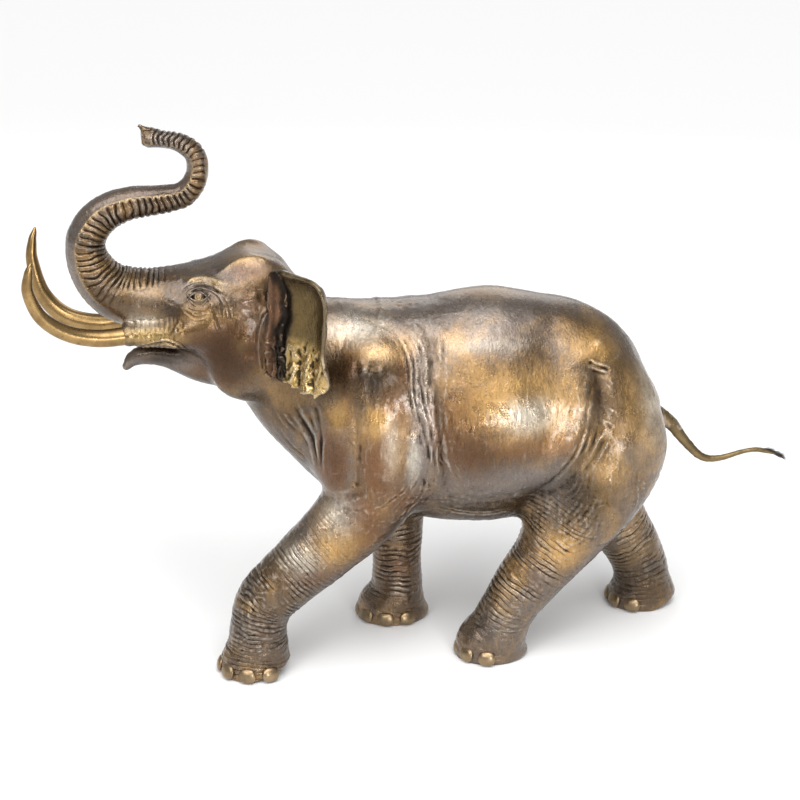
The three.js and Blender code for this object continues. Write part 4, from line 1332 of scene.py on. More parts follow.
@dataclass
class ElephantClay:
    """The whole animal laid up in clay, without its tusks, toenails and tail."""

    cell: float
    low: Point = (-470, -180, -6)
    high: Point = (430, 180, 800)

    def __post_init__(self) -> None:
        """Lays every form."""
        self.feet = [Foot(-216, -77, -222, 0.34, 5, -34), Foot(-2, 70, 22, 0.08, 5, -34),
                     Foot(126, -70, 144, 0.12, 4, -15), Foot(380, 66, 390, 0.34, 4, -5)]
        self.left_fore = Limb([
            (-40, -56, 425, 40, 62), (-42, -66, 360, 44, 72), (-48, -72, 300, 46, 74),
            (-64, -76, 243, 45, 59), (-117, -78, 189, 43, 50), (-167, -78, 143, 41, 44),
            (-200, -77, 109, 40, 41), (-211, -77, 74, 39, 39.5), (-213, -77, 42, 41, 42),
            (-216, -77, 16, 43, 50), (-217, -77, -14, 43, 50)], 30)
        self.right_fore = Limb([
            (-30, 56, 420, 40, 66), (-22, 62, 350, 45, 66), (-10, 66, 290, 45, 58), (-2, 68, 230, 43, 49),
            (2, 69, 170, 39, 42), (4, 70, 115, 37, 37), (5, 70, 76, 37, 36), (4, 70, 44, 40, 39),
            (-1, 70, 17, 43, 53), (-2, 70, -14, 43, 53)], 30)
        self.left_hind = Limb([
            (272, -56, 365, 54, 86), (272, -72, 310, 56, 96), (257, -78, 250, 53, 79),
            (230, -78, 195, 49, 58), (200, -76, 150, 45, 48.5), (171, -74, 110, 41, 43.5),
            (149, -72, 75, 39, 39.5), (136, -71, 45, 40, 41), (126, -70, 18, 42, 52),
            (124, -70, -14, 42, 52)], 34)
        self.right_hind = Limb([
            (272, 56, 370, 54, 86), (282, 64, 305, 56, 90), (295, 68, 235, 52, 67),
            (316, 67, 178, 48, 52), (340, 66, 132, 45, 45), (361, 66, 96, 42, 42),
            (374, 66, 66, 40, 40.5), (379, 66, 42, 41, 42), (380, 66, 18, 42, 51),
            (379, 66, -14, 42, 51)], 34)
        self.trunk = Limb([
            (-235, 0, 526, 54, 62), (-292, 0, 534, 51, 47), (-346, 0, 535, 46, 42),
            (-391, 0, 549, 40, 37), (-418, 0, 580, 34, 31), (-425, 0, 619, 29, 26.5),
            (-403, 0, 654, 26.5, 25), (-366, 0, 670, 24, 22.5), (-325, 0, 674, 21.5, 20),
            (-291, 0, 681, 19.5, 17.5), (-274, 0, 704, 17, 15.5), (-274, 0, 731, 15.5, 14),
            (-292, 0, 749, 14, 12.5), (-316, 0, 755, 12.5, 11.5), (-333, 0, 757, 14.5, 13)], 16)
        self.sheath = Limb([
            (-268, -44, 508, 28, 28), (-305, -46, 500, 22, 21), (-342, -43, 499, 17.5, 17.2),
            (-372, -42, 499, 15.5, 15)], 12, mirror=True)
        self.ears = [Ear((-181, -72, 518), 45, (0.01, 0.05, 1.0), -1),
                     Ear((-186, 70, 470), 78, (-0.20, 0.28, 1.0), 1)]

    def forms(self) -> list[Form]:
        """The forms in the order they are laid: trunk of the body first, then legs, head and ears.

        Returns:
            Torso, legs, head and the root of the tail.
        """
        torso = [
            Limb([
                (222, 0, 375, 100, 129), (150, 0, 364, 117, 158), (70, 0, 360, 120, 161),
                (0, 0, 364, 111, 154), (-48, 0, 372, 98, 140)], 30),
            Limb([
                (-28, 0, 380, 96, 126), (-90, 0, 402, 84, 118), (-143, 0, 441, 70, 100),
                (-186, 0, 480, 60, 72)], 36),
            Mass((118, 0, 326), (150, 124, 124), 40),
            Mass((142, 0, 437), (126, 76, 83), 40),
            Mass((253, 0, 365), (96, 104, 121), 40),
            Mass((-36, -72, 404), (46, 30, 72), 28, pitch=-12, mirror=True),
        ]
        legs = [self.left_fore, self.right_fore, self.left_hind, self.right_hind]
        head = [
            Mass((-210, 0, 527), (72, 60, 72), 30),
            Mass((-202, -27, 561), (46, 27, 38), 16, pitch=10, mirror=True),
            Mass((-252, -18, 516), (74, 50, 63), 24, mirror=True),
            Mass((-216, -42, 462), (50, 30, 61), 26, pitch=14, mirror=True),
            Mass((-201, 36, 578), (23, 15, 24), 12),
            self.trunk,
            Limb([(-326, 0, 763, 6.5, 5.5), (-338, 0, 769, 5, 4.2), (-345, 0, 774, 3.2, 3.2)], 8),
            Mass((-350, -5.5, 756), (17, 4.2, 6.4), 2.5, mirror=True, carve=True),
            Limb([
                (-235, 0, 444, 44, 42), (-280, 0, 446, 34, 30), (-322, 0, 455, 22, 19),
                (-352, 0, 456, 14.5, 14), (-369, 0, 450, 9.5, 10.5), (-379, 0, 440, 5.5, 5.5)], 12),
            self.sheath,
            *self.ears,
        ]
        root_of_tail = [Limb([(350, 0, 345, 14, 16), (392, 0, 318, 9.6, 10.6), (404, 0, 306, 8, 8.4)], 8)]
        return [*torso, *legs, *head, *root_of_tail]

    def wrinkles(self) -> list[Wrinkles]:
        """The rolls of skin on the four legs.

        Returns:
            One set of rolls for each leg.
        """
        return [
            Wrinkles(self.left_fore, [(30, 0.6), (50, 1.1), (100, 1.2), (140, 1.2), (172, 0.6), (210, 0.2),
                                      (245, 0)], 6.2, 0.3, 262, 1),
            Wrinkles(self.right_fore, [(30, 0.5), (50, 1.0), (120, 1.2), (190, 0.9), (230, 0.3), (255, 0)],
                     8.4, 0.25, 265, 2),
            Wrinkles(self.left_hind, [(30, 0.4), (55, 1.0), (110, 1.5), (170, 1.3), (215, 0.8), (250, 0.3),
                                      (265, 0)], 7.6, 0.9, 270, 3),
            Wrinkles(self.right_hind, [(30, 0.4), (60, 1.0), (130, 1.2), (190, 0.8), (240, 0.2), (260, 0)],
                     8.4, 0.5, 265, 4),
        ]

    def skin(self) -> Skin:
        """The closed skin over the forms."""
        return Clay(self.forms(), self.feet).skin(self.cell, self.low, self.high)


def to_frame(points: Array) -> Array:
    """Modelling millimetres moved onto the frame, in metres."""
    return (points + np.array(SETTING)) * MM


def mesh_object(name: str, points: Array, faces: Array, material: Material | None = None) -> Thing:
    """A smooth-shaded object from points and faces.

    Args:
        name: The piece's name.
        points: Points in metres.
        faces: Three-sided faces.
        material: Its finish.

    Returns:
        The object, linked to the scene.
    """
    mesh = bpy.data.meshes.new(name)
    mesh.vertices.add(len(points))
    mesh.vertices.foreach_set("co", points.astype(np.float32).ravel())
    mesh.loops.add(len(faces) * 3)
    mesh.loops.foreach_set("vertex_index", faces.astype(np.int32).ravel())
    mesh.polygons.add(len(faces))
    mesh.polygons.foreach_set("loop_start", np.arange(0, len(faces) * 3, 3, dtype=np.int32))
    mesh.update(calc_edges=True)
    mesh.polygons.foreach_set("use_smooth", np.ones(len(faces), bool))
    if material is not None:
        mesh.materials.append(material)
    thing = bpy.data.objects.new(name, mesh)
    bpy.context.scene.collection.objects.link(thing)
    return thing


def plain_copy(thing: Thing) -> None:
    """Turns an object with modifiers into the plain mesh they make.

    Args:
        thing: The object, which keeps its name.
    """
    graph = bpy.context.evaluated_depsgraph_get()
    mesh = bpy.data.meshes.new_from_object(thing.evaluated_get(graph), depsgraph=graph)
    thing.modifiers.clear()
    thing.data = mesh


def set_down(piece: Thing) -> None:
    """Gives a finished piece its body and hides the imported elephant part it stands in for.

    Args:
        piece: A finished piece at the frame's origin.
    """
    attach(piece, "root")
    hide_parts("elephant")


@dataclass
class CastBody:
    """The casting itself: body, legs, head, ears and trunk in one skin."""

    cell: float = 2.3
    quick_cell: float = 3.4
    faces: int = 196000
    fine_head: tuple[float, float] = (-168.0, 400.0)
    fine_foot: float = 46.0
    fine_eye: float = 24.0
    faintest_ring: float = 0.02
    # strength of the painted shade on faces that look down
    shade: float = 0.58
    settling: int = 2
    relief: Relief | None = field(default=None, init=False)

    def build(self) -> Thing:
        """Lays, carves and thins the skin.

        Returns:
            The body piece with its patina marks, not yet finished.
        """
        clay = ElephantClay(self.cell)
        skin = clay.skin()
        skin.settle(self.settling)
        x, _, z = skin.points.T
        head = (x < self.fine_head[0]) & (z > self.fine_head[1])
        skin.refine(head | (z < self.fine_foot))
        skin.refine((np.abs(near_side(skin.points) - np.array(Eye.at)) < self.fine_eye).all(1))
        LOG.info("skin has %d points", len(skin.points))
        relief = Relief(skin, clay)
        relief.cut()
        self.relief = relief
        skin.points[:, 2] = np.maximum(skin.points[:, 2], 0)
        thing = mesh_object("cast_body", to_frame(skin.points), skin.faces)
        if len(skin.faces) > self.faces:
            thin = thing.modifiers.new("thin", "DECIMATE")
            thin.ratio = self.faces / len(skin.faces)
            thin.use_collapse_triangulate = True
            plain_copy(thing)
        self.mark(thing, to_frame(skin.points))
        return thing

    def mark(self, thing: Thing, dense: Array) -> None:
        """Carries the patina, wear, painted highlight and painted shade marks from the full skin to the
        finished piece.

        Args:
            thing: The finished piece.
            dense: The full skin's points in metres.
        """
        relief = self.relief
        mesh = thing.data
        points = np.empty(len(mesh.vertices) * 3, np.float32)
        mesh.vertices.foreach_get("co", points)
        points = points.reshape(-1, 3)
        nearest = np.arange(len(points))
        if len(points) != len(dense):
            tree = KDTree(len(dense))
            for i, p in enumerate(dense):
                tree.insert(p, i)
            tree.balance()
            nearest = np.array([tree.find(p)[1] for p in points])
        gold, honey, rust, slate, pale, dark = [relief.tones[tone] for tone in Tone]
        # painted shade on downward faces joins the dark marks
        dark = np.maximum(dark, self.shade * relief.shade)
        self.paint(mesh, "patina", [gold, honey, rust, slate], nearest)
        # hollows (patina and painted shade), worn heights, painted highlight and painted shade with dark
        # patina
        self.paint(mesh, "wear_and_painted_light", [relief.hollow, relief.height, pale, dark], nearest)
        self.count_rolls(mesh, points / MM - np.array(SETTING))

    def count_rolls(self, mesh: bpy.types.Mesh, p: Array) -> None:
        """Stores which roll of skin each point lies on and how deep the rolls run there.

        Args:
            mesh: The finished piece's mesh.
            p: Its points in modelling millimetres.
        """
        rows = np.zeros((len(p), 2), np.float32)
        relief = self.relief
        for wrinkles in relief.clay.wrinkles():
            idx, phase, depth = wrinkles.turns(p, relief.grain)
            more = depth > rows[idx, 1]
            rows[idx[more], 0], rows[idx[more], 1] = phase[more], depth[more]
        idx, _, _, rings = TrunkRings(relief.clay.trunk).press(p, relief.grain)
        more = rings[:, 1] > self.faintest_ring
        rows[idx[more]] = rings[more]
        for name, column in (("roll_count", 0), ("roll_depth", 1)):
            layer = mesh.attributes.new(name, "FLOAT", "POINT")
            layer.data.foreach_set("value", rows[:, column])

    @staticmethod
    def paint(mesh: bpy.types.Mesh, name: str, channels: Sequence[Array], nearest: Array) -> None:
        """Stores four marks in one colour attribute.

        Args:
            mesh: The mesh to mark.
            name: The attribute's name.
            channels: Four marks, one value for each point of the full skin.
            nearest: The full skin's nearest point for each point of the mesh.
        """
        rows = np.stack([np.clip(c, 0, 1)[nearest] for c in channels], 1).astype(np.float32)
        layer = mesh.color_attributes.new(name, "FLOAT_COLOR", "POINT")
        layer.data.foreach_set("color", rows.ravel())


# ---- finishes

Colour = tuple[float, float, float, float]


def metal(red: int, green: int, blue: int) -> Colour:
    """A colour mixed on the bench, given as it looks on a card, as light values."""
    return (*[((c / 255 + 0.055) / 1.055) ** 2.4 for c in (red, green, blue)], 1.0)


class Layout:
    """A node tree laid out in code."""

    tree: bpy.types.NodeTree

    def add(self, kind: str, inputs: dict[str | int, object] | None = None,
            **settings: object) -> bpy.types.Node:
        """A node with its settings and its inputs linked or set.

        Args:
            kind: The node's type.
            inputs: Values or sockets, by input name or place.
            **settings: The node's own settings.

        Returns:
            The node.
        """
        node = self.tree.nodes.new(kind)
        for key, value in settings.items():
            setattr(node, key, value)
        for key, value in (inputs or {}).items():
            if isinstance(value, Socket):
                self.tree.links.new(value, node.inputs[key])
            else:
                node.inputs[key].default_value = value
        return node

    def math(self, kind: str, a: object, b: object = 0.0) -> Socket:
        """One sum on one or two values."""
        return self.add("ShaderNodeMath", {0: a, 1: b}, operation=kind).outputs[0]


class Bench(Layout):
    """Lays out one material's nodes."""

    def __init__(self, name: str) -> None:
        """Starts a material with an empty tree.

        Args:
            name: The material's name.
        """
        self.material = bpy.data.materials.new(name)
        self.material.use_nodes = True
        self.tree = self.material.node_tree
        self.tree.nodes.clear()
        self.where = self.add("ShaderNodeTexCoord").outputs["Object"]

    def noise(self, scale: float, detail: float = 3, rough: float = 0.55, stretch: Point = (1, 1, 1),
              warp: float = 0.0) -> Socket:
        """Soft unevenness in the object's own space.

        Args:
            scale: Cells to a metre.
            detail: How many finer layers.
            rough: Strength of the finer layers.
            stretch: Scale along each axis.
            warp: Distortion of the pattern.

        Returns:
            The socket with values from 0 to 1.
        """
        mapping = self.add("ShaderNodeMapping", {"Vector": self.where, "Scale": stretch})
        inputs = {"Vector": mapping.outputs[0], "Scale": scale, "Detail": detail, "Roughness": rough}
        return self.add("ShaderNodeTexNoise", {**inputs, "Distortion": warp}).outputs["Fac"]

    def span(self, value: object, low: float, high: float, to_low: float = 0.0,
             to_high: float = 1.0) -> Socket:
        """A value carried smoothly from one range to another."""
        inputs = dict(enumerate((value, low, high, to_low, to_high)))
        return self.add("ShaderNodeMapRange", inputs, interpolation_type="SMOOTHSTEP").outputs[0]

    def mix(self, share: object, a: object, b: object, kind: str = "MIX") -> Socket:
        """Two colours mixed by a share."""
        settings = {"data_type": "RGBA", "blend_type": kind, "clamp_factor": True}
        return self.add("ShaderNodeMix", {0: share, 6: a, 7: b}, **settings).outputs[2]

    def stored(self, name: str) -> bpy.types.Node:
        """A node that reads what is stored on the skin."""
        return self.add("ShaderNodeAttribute", attribute_name=name, attribute_type="GEOMETRY")

    def marks(self, name: str) -> list[Socket]:
        """The four marks of one attribute."""
        read = self.stored(name).outputs
        return [*self.add("ShaderNodeSeparateColor", {0: read["Color"]}).outputs[:3], read["Alpha"]]

    def creases(self, times: float) -> Socket:
        """The furrows between the rolls of skin.

        Args:
            times: How many furrows to each roll.

        Returns:
            The socket with the furrows, 1 at the bottom of a deep one.
        """
        count, depth = [self.stored(name).outputs["Fac"] for name in ("roll_count", "roll_depth")]
        part = self.math("FRACT", self.math("MULTIPLY", count, times))
        away = self.math("ABSOLUTE", self.math("SUBTRACT", self.math("MULTIPLY", part, 2.0), 1.0))
        return self.math("MULTIPLY", self.math("POWER", away, 5.0), self.math("MINIMUM", depth, 1.2))

    def bump(self, height: object, strength: float, distance: float, **below: Socket) -> Socket:
        """Fine relief from a height, laid over the Normal below it if one is given."""
        inputs = {"Height": height, "Strength": strength, "Distance": distance, **below}
        return self.add("ShaderNodeBump", inputs).outputs[0]

    def metal(self, colour: object, rough: object, normal: object, metallic: float, coat: object,
              coat_rough: float) -> Material:
        """Ends the tree in a waxed metal.

        Args:
            colour: Base colour.
            rough: Roughness.
            normal: The bumped direction.
            metallic: How far the surface shows bare metal.
            coat: Weight of the wax.
            coat_rough: Roughness of the wax.

        Returns:
            The finished material.
        """
        shader = self.add("ShaderNodeBsdfPrincipled",
                          {"Base Color": colour, "Roughness": rough, "Normal": normal, "Metallic": metallic,
                           "Coat Weight": coat, "Coat Roughness": coat_rough})
        self.add("ShaderNodeOutputMaterial", {0: shader.outputs[0]})
        return self.material


@dataclass(frozen=True)
class BodyPatina:
    """Brown bronze under slate and rust patina, rubbed to honey and gold where hands and light fall, with
    painted highlights and shade.
    """

    brown: Colour = metal(102, 81, 58)
    slate: Colour = metal(120, 112, 107)
    rust: Colour = metal(110, 73, 42)
    honey: Colour = metal(186, 146, 88)
    gold: Colour = metal(184, 153, 92)
    # pale: worn heights and the painted highlight
    pale: Colour = metal(220, 213, 198)
    # dark: dark patina, fur streaks and painted shade
    dark: Colour = metal(26, 20, 16)
    metallic: float = 0.86
    wax: float = 0.5
    wax_in_hollows: float = 0.04
    wax_rough: float = 0.16

    def build(self) -> Material:
        """Builds the patina, with its painted highlights and painted shade, from the marks on the skin and
        the metal's own mottling.

        Returns:
            The material.
        """
        b = Bench("bronze_patina")
        gold, honey, rust, slate = b.marks("patina")
        # hollows, worn heights, painted highlight and painted shade with dark patina
        hollow, height, pale, dark = b.marks("wear_and_painted_light")
        clouds = b.noise(11, 3, 0.55)
        blotch = b.noise(34, 5, 0.62, warp=0.5)
        streaks = b.noise(70, 4, 0.62, (2.2, 1.8, 0.6), warp=0.7)
        speckle = b.noise(420, 3, 0.6)
        fur = b.noise(170, 3, 0.6, (2.0, 1.8, 0.55), warp=0.7)
        base = b.mix(b.span(clouds, 0.38, 0.66, 0.0, 0.6), self.brown, self.slate)
        base = b.mix(b.span(b.noise(15, 3, 0.55, warp=0.6), 0.46, 0.66, 0.0, 0.36), base, self.honey)
        base = b.mix(b.span(streaks, 0.5, 0.72, 0.0, 0.26), base, self.honey)
        ragged = b.math("MULTIPLY", b.math("ADD", blotch, streaks), 0.95)

        def laid(mark: object, tone: Colour, under: object, strength: float = 1.0) -> Socket:
            """One tone rubbed over another, thinning out toward its edge."""
            share = b.span(b.math("MULTIPLY", mark, ragged), 0.04, 0.86, 0.0, strength)
            return b.mix(share, under, tone)

        colour = laid(slate, self.slate, base, 0.85)
        colour = laid(rust, self.rust, colour, 0.92)
        colour = laid(honey, self.honey, colour, 0.95)
        # painted highlight: pale patches where the lamps shine
        colour = laid(pale, self.pale, colour, 0.75)
        colour = b.mix(b.span(gold, 0.05, 0.8), colour, self.gold)
        worn = b.math("MULTIPLY", b.span(height, 0.2, 0.95), b.span(blotch, 0.3, 0.65, 0.25, 0.75))
        colour = b.mix(worn, colour, b.mix(0.5, colour, self.pale))
        # painted shade, with dark patina: the dark marks darken the colour
        colour = b.mix(b.math("MULTIPLY", b.span(dark, 0.05, 1.0), 0.96), colour, self.dark)
        # hollows darkened: patina in them and painted shade
        colour = b.mix(b.span(hollow, 0.12, 0.9, 0.0, 0.92), colour, self.dark)
        colour = b.mix(b.span(fur, 0.52, 0.72, 0.0, 0.3), colour, self.dark)
        # the furrows between the rolls of the legs are darkened: dark patina and painted shade
        furrows = b.math("ADD", b.creases(1.0), b.math("MULTIPLY", b.creases(SMALL_ROLLS), 0.35))
        colour = b.mix(b.span(furrows, 0.1, 1.1, 0.0, 0.7), colour, self.dark)
        fine = b.span(speckle, 0.3, 0.7, 0.86, 1.1)
        grey = b.add("ShaderNodeCombineColor", {0: fine, 1: fine, 2: fine})
        colour = b.mix(1.0, colour, grey.outputs[0], "MULTIPLY")
        rough = b.math("ADD", b.span(blotch, 0.25, 0.75, 0.20, 0.36), b.math("MULTIPLY", hollow, 0.22))
        rough = b.math("SUBTRACT", rough, b.math("MULTIPLY", gold, 0.06))
        normal = b.bump(fur, 0.45, 0.0014)
        normal = b.bump(b.noise(210, 4, 0.62, warp=0.8), 0.38, 0.0011, Normal=normal)
        normal = b.bump(speckle, 0.2, 0.0004, Normal=normal)
        normal = b.bump(b.math("MULTIPLY", furrows, -1.0), 0.8, 0.0014, Normal=normal)
        covered = b.math("ADD", b.math("ADD", hollow, dark), furrows)
        wax = b.span(covered, 0.2, 0.9, self.wax, self.wax_in_hollows)
        return b.metal(colour, rough, normal, self.metallic, wax, self.wax_rough)


@dataclass(frozen=True)
class PolishedBronze:
    """Bronze polished to gold with brown left in its finest lines."""

    name: str = "polished_bronze"
    bright: Colour = metal(166, 136, 90)
    deep: Colour = metal(84, 64, 38)
    lines: Point = (1.0, 1.0, 1.0)
    metallic: float = 0.95
    rough: float = 0.22

    def build(self) -> Material:
        """Builds the polish with its faint lines and dulled clouds.

        Returns:
            The material.
        """
        b = Bench(self.name)
        clouds = b.noise(38, 3, 0.6)
        lines = b.noise(190, 4, 0.6, self.lines, warp=0.3)
        colour = b.mix(b.span(clouds, 0.3, 0.72, 0.0, 0.55), self.bright, self.deep)
        colour = b.mix(b.span(lines, 0.56, 0.74, 0.0, 0.5), colour, self.deep)
        rough = b.span(clouds, 0.25, 0.75, self.rough, self.rough + 0.14)
        normal = b.bump(lines, 0.25, 0.0006)
        return b.metal(colour, rough, normal, self.metallic, 0.1, 0.3)


# ---- pieces that repeat or follow a path

class Pattern(Layout):
    """A geometry tree with named inputs."""

    def __init__(self, name: str) -> None:
        """Starts a tree with geometry in and out.

        Args:
            name: The tree's name.
        """
        self.tree = bpy.data.node_groups.new(name, "GeometryNodeTree")
        self.tree.is_modifier = True
        face = self.tree.interface
        face.new_socket("Geometry", in_out="INPUT", socket_type="NodeSocketGeometry")
        face.new_socket("Geometry", in_out="OUTPUT", socket_type="NodeSocketGeometry")
        self.sockets: dict[str, str] = {}
        self.inside = self.tree.nodes.new("NodeGroupInput")

    def ask(self, kind: str, *names: str) -> None:
        """Adds named inputs of one kind.

        Args:
            kind: Int, Float or Material.
            *names: The inputs' names.
        """
        for name in names:
            made = self.tree.interface.new_socket(name, in_out="INPUT", socket_type="NodeSocket" + kind)
            self.sockets[name] = made.identifier

    def given(self, name: str) -> Socket:
        """A named input's socket inside the tree."""
        return self.inside.outputs[name]

    def vector(self, x: object = 0.0, y: object = 0.0, z: object = 0.0) -> Socket:
        """Three values joined in one vector."""
        return self.add("ShaderNodeCombineXYZ", {0: x, 1: y, 2: z}).outputs[0]

    def place(self) -> Sequence[Socket]:
        """The X, Y and Z of each point."""
        position = self.add("GeometryNodeInputPosition").outputs[0]
        return self.add("ShaderNodeSeparateXYZ", {0: position}).outputs

    def moved(self, geometry: Socket, offset: Socket) -> Socket:
        """A shape with each of its points moved."""
        return self.add("GeometryNodeSetPosition", {"Geometry": geometry, "Offset": offset}).outputs[0]

    def set_out(self, points: Socket, shape: Socket, turn: Socket, size: Socket) -> Socket:
        """A shape set at every point, turned and sized there."""
        inputs = {"Points": points, "Instance": shape, "Rotation": turn, "Scale": size}
        return self.add("GeometryNodeInstanceOnPoints", inputs).outputs[0]

    def end(self, geometry: Socket) -> None:
        """Closes the tree: smooth, realized and given its finish.

        Args:
            geometry: The finished shapes.
        """
        smooth = self.add("GeometryNodeSetShadeSmooth", {"Geometry": geometry})
        real = self.add("GeometryNodeRealizeInstances", {"Geometry": smooth.outputs[0]})
        dressed = self.add("GeometryNodeSetMaterial",
                           {"Geometry": real.outputs[0], "Material": self.given("Finish")})
        out = self.tree.nodes.new("NodeGroupOutput")
        self.tree.links.new(dressed.outputs[0], out.inputs[0])

    def run(self, name: str, source: bpy.types.ID, values: dict[str, object]) -> Thing:
        """Runs the tree over a source and keeps the plain result.

        Args:
            name: The piece's name.
            source: The mesh or curve that the tree starts from.
            values: The named inputs' values.

        Returns:
            The finished piece as a plain mesh.
        """
        guide = bpy.data.objects.new(name + "_guide", source)
        bpy.context.scene.collection.objects.link(guide)
        modifier = guide.modifiers.new(name, "NODES")
        modifier.node_group = self.tree
        for key, value in values.items():
            modifier[self.sockets[key]] = value
        graph = bpy.context.evaluated_depsgraph_get()
        graph.update()
        mesh = bpy.data.meshes.new_from_object(guide.evaluated_get(graph), depsgraph=graph)
        mesh.name = name
        bpy.data.objects.remove(guide)
        piece = bpy.data.objects.new(name, mesh)
        bpy.context.scene.collection.objects.link(piece)
        return piece


def swept_pattern(name: str) -> Pattern:
    """A tree that sweeps a round section along guide lines, as thick as the lines say.

    Args:
        name: The tree's name.

    Returns:
        The tree, with its sides and finish as inputs.
    """
    p = Pattern(name)
    p.ask("Int", "Sides")
    p.ask("Material", "Finish")
    ring = p.add("GeometryNodeCurvePrimitiveCircle", {"Resolution": p.given("Sides"), "Radius": 1.0})
    radius = p.add("GeometryNodeInputRadius")
    sweep = p.add("GeometryNodeCurveToMesh", {"Curve": p.given("Geometry"), "Profile Curve": ring.outputs[0],
                                              "Scale": radius.outputs[0], "Fill Caps": True})
    p.end(sweep.outputs[0])
    return p


def guide_lines(name: str, lines: Sequence[Array]) -> bpy.types.Curve:
    """Guide lines with a thickness at each point.

    Args:
        name: The curve's name.
        lines: Rows of (x, y, z, radius) in modelling millimetres for each line.

    Returns:
        The curve, in metres on the frame.
    """
    curve = bpy.data.curves.new(name, "CURVE")
    curve.dimensions = "3D"
    for line in lines:
        spline = curve.splines.new("POLY")
        spline.points.add(len(line) - 1)
        places = to_frame(line[:, :3])
        for point, place, radius in zip(spline.points, places, line[:, 3]):
            point.co = (*place, 1.0)
            point.radius = radius * MM
    return curve


@dataclass
class Tusks:
    """The two long tusks, each swept along its own curve and drawn out to a point."""

    near: Rows = (
        (-352, -42, 499, 11.6), (-368, -43, 499, 12.4), (-412, -51, 499, 12), (-453, -61, 511, 11),
        (-485, -70, 537, 9.6), (-500, -76, 573, 8.0), (-498.5, -79, 598, 6), (-495, -79.8, 611, 3.6),
        (-493.5, -80, 616, 1.2))
    far: Rows = (
        (-352, 42, 497, 12.4), (-368, 43, 493.5, 13.5), (-414, 51, 485.5, 13.8), (-459, 61, 495.5, 13),
        (-489, 71, 525.5, 11.2), (-501, 78, 571, 8.6), (-499.5, 80, 599, 6), (-496, 80.8, 612, 3.5),
        (-494.5, 81, 618.5, 1.2))
    sides: int = 40

    def build(self, finish: Material) -> Thing:
        """Sweeps both tusks.

        Args:
            finish: The polished bronze.

        Returns:
            The piece.
        """
        lines = [splined(self.near, 12), splined(self.far, 12)]
        pattern = swept_pattern("tusk_sweep")
        return pattern.run("tusks", guide_lines("tusk_lines", lines), {"Sides": self.sides, "Finish": finish})


@dataclass
class Tail:
    """The tail, swept thin from the rump, with a dark brush of hair at its end."""

    stations: Rows = (
        (352, 0, 344, 12.5), (372, 0, 333, 11.5), (392, 0, 318, 9.4), (420, 1, 283, 7.0), (444, 2, 260, 5.6),
        (470, 3, 256, 4.4), (505, 4, 264, 3.3), (525, 4, 266, 3.4), (540, 4, 263, 3.2), (556, 4, 258, 1.6))
    brush_line: Rows = (
        (522, 4, 266, 3.2), (536, 4, 264.5, 3), (548, 4, 261, 2.6), (556, 4, 257.6, 2))
    sides: int = 28
    hairs: int = 230
    hair_long: float = 21.0
    hair_thick: float = 1.1
    hair_sag: float = 1.6
    spread: float = 0.16
    full_turn: float = 3.1
    seed: int = 7

    def build(self, finish: Material) -> Thing:
        """Sweeps the tail.

        Args:
            finish: The tail's bronze.

        Returns:
            The piece.
        """
        line = splined(self.stations, 10)
        turn = np.linspace(0, 60, len(line))
        line[:, 3] *= 1 + 0.035 * np.sin(turn * 3.1) + 0.02 * np.sin(turn * 7.7)
        pattern = swept_pattern("tail_sweep")
        return pattern.run("tail", guide_lines("tail_line", [line]), {"Sides": self.sides, "Finish": finish})

    def brush(self, finish: Material) -> Thing:
        """Sets the hairs of the brush along the last of the tail.

        Args:
            finish: The dark bronze of the brush.

        Returns:
            The piece.
        """
        p = Pattern("tail_brush")
        p.ask("Int", "Hairs", "Seed")
        p.ask("Float", "Length", "Thickness", "Spread")
        p.ask("Material", "Finish")
        roots = p.add("GeometryNodeCurveToPoints", {"Curve": p.given("Geometry"), "Count": p.given("Hairs")},
                      mode="COUNT")
        hair = p.add("GeometryNodeMeshCone", {"Vertices": 5, "Side Segments": 5, "Radius Top": 0.04,
                                              "Radius Bottom": 1.0, "Depth": 1.0})
        sag = p.math("MULTIPLY", p.math("POWER", p.place()[2], 2.0), self.hair_sag)
        bent = p.moved(hair.outputs[0], p.vector(sag))
        along = p.add("FunctionNodeAlignEulerToVector", {"Vector": roots.outputs["Tangent"]}, axis="Z")
        spread = p.given("Spread")
        back = p.math("MULTIPLY", spread, -1.0)
        low = p.vector(back, back, -self.full_turn)
        high = p.vector(spread, spread, self.full_turn)
        scatter = p.add("FunctionNodeRandomValue", {0: low, 1: high, "Seed": p.given("Seed")},
                        data_type="FLOAT_VECTOR")
        tilt = p.add("FunctionNodeRotateEuler", {0: along.outputs[0], 1: scatter.outputs[0]}, space="LOCAL")
        size = p.add("FunctionNodeRandomValue", {2: 0.65, 3: 1.1, "Seed": p.given("Seed")}, data_type="FLOAT")
        long = p.math("MULTIPLY", size.outputs[1], p.given("Length"))
        thick = p.given("Thickness")
        p.end(p.set_out(roots.outputs[0], bent, tilt.outputs[0], p.vector(thick, thick, long)))
        guide = guide_lines("brush_line", [splined(self.brush_line, 10)])
        return p.run("tail_brush", guide, {"Hairs": self.hairs, "Length": self.hair_long * MM,
                                           "Thickness": self.hair_thick * MM, "Spread": self.spread,
                                           "Seed": self.seed, "Finish": finish})


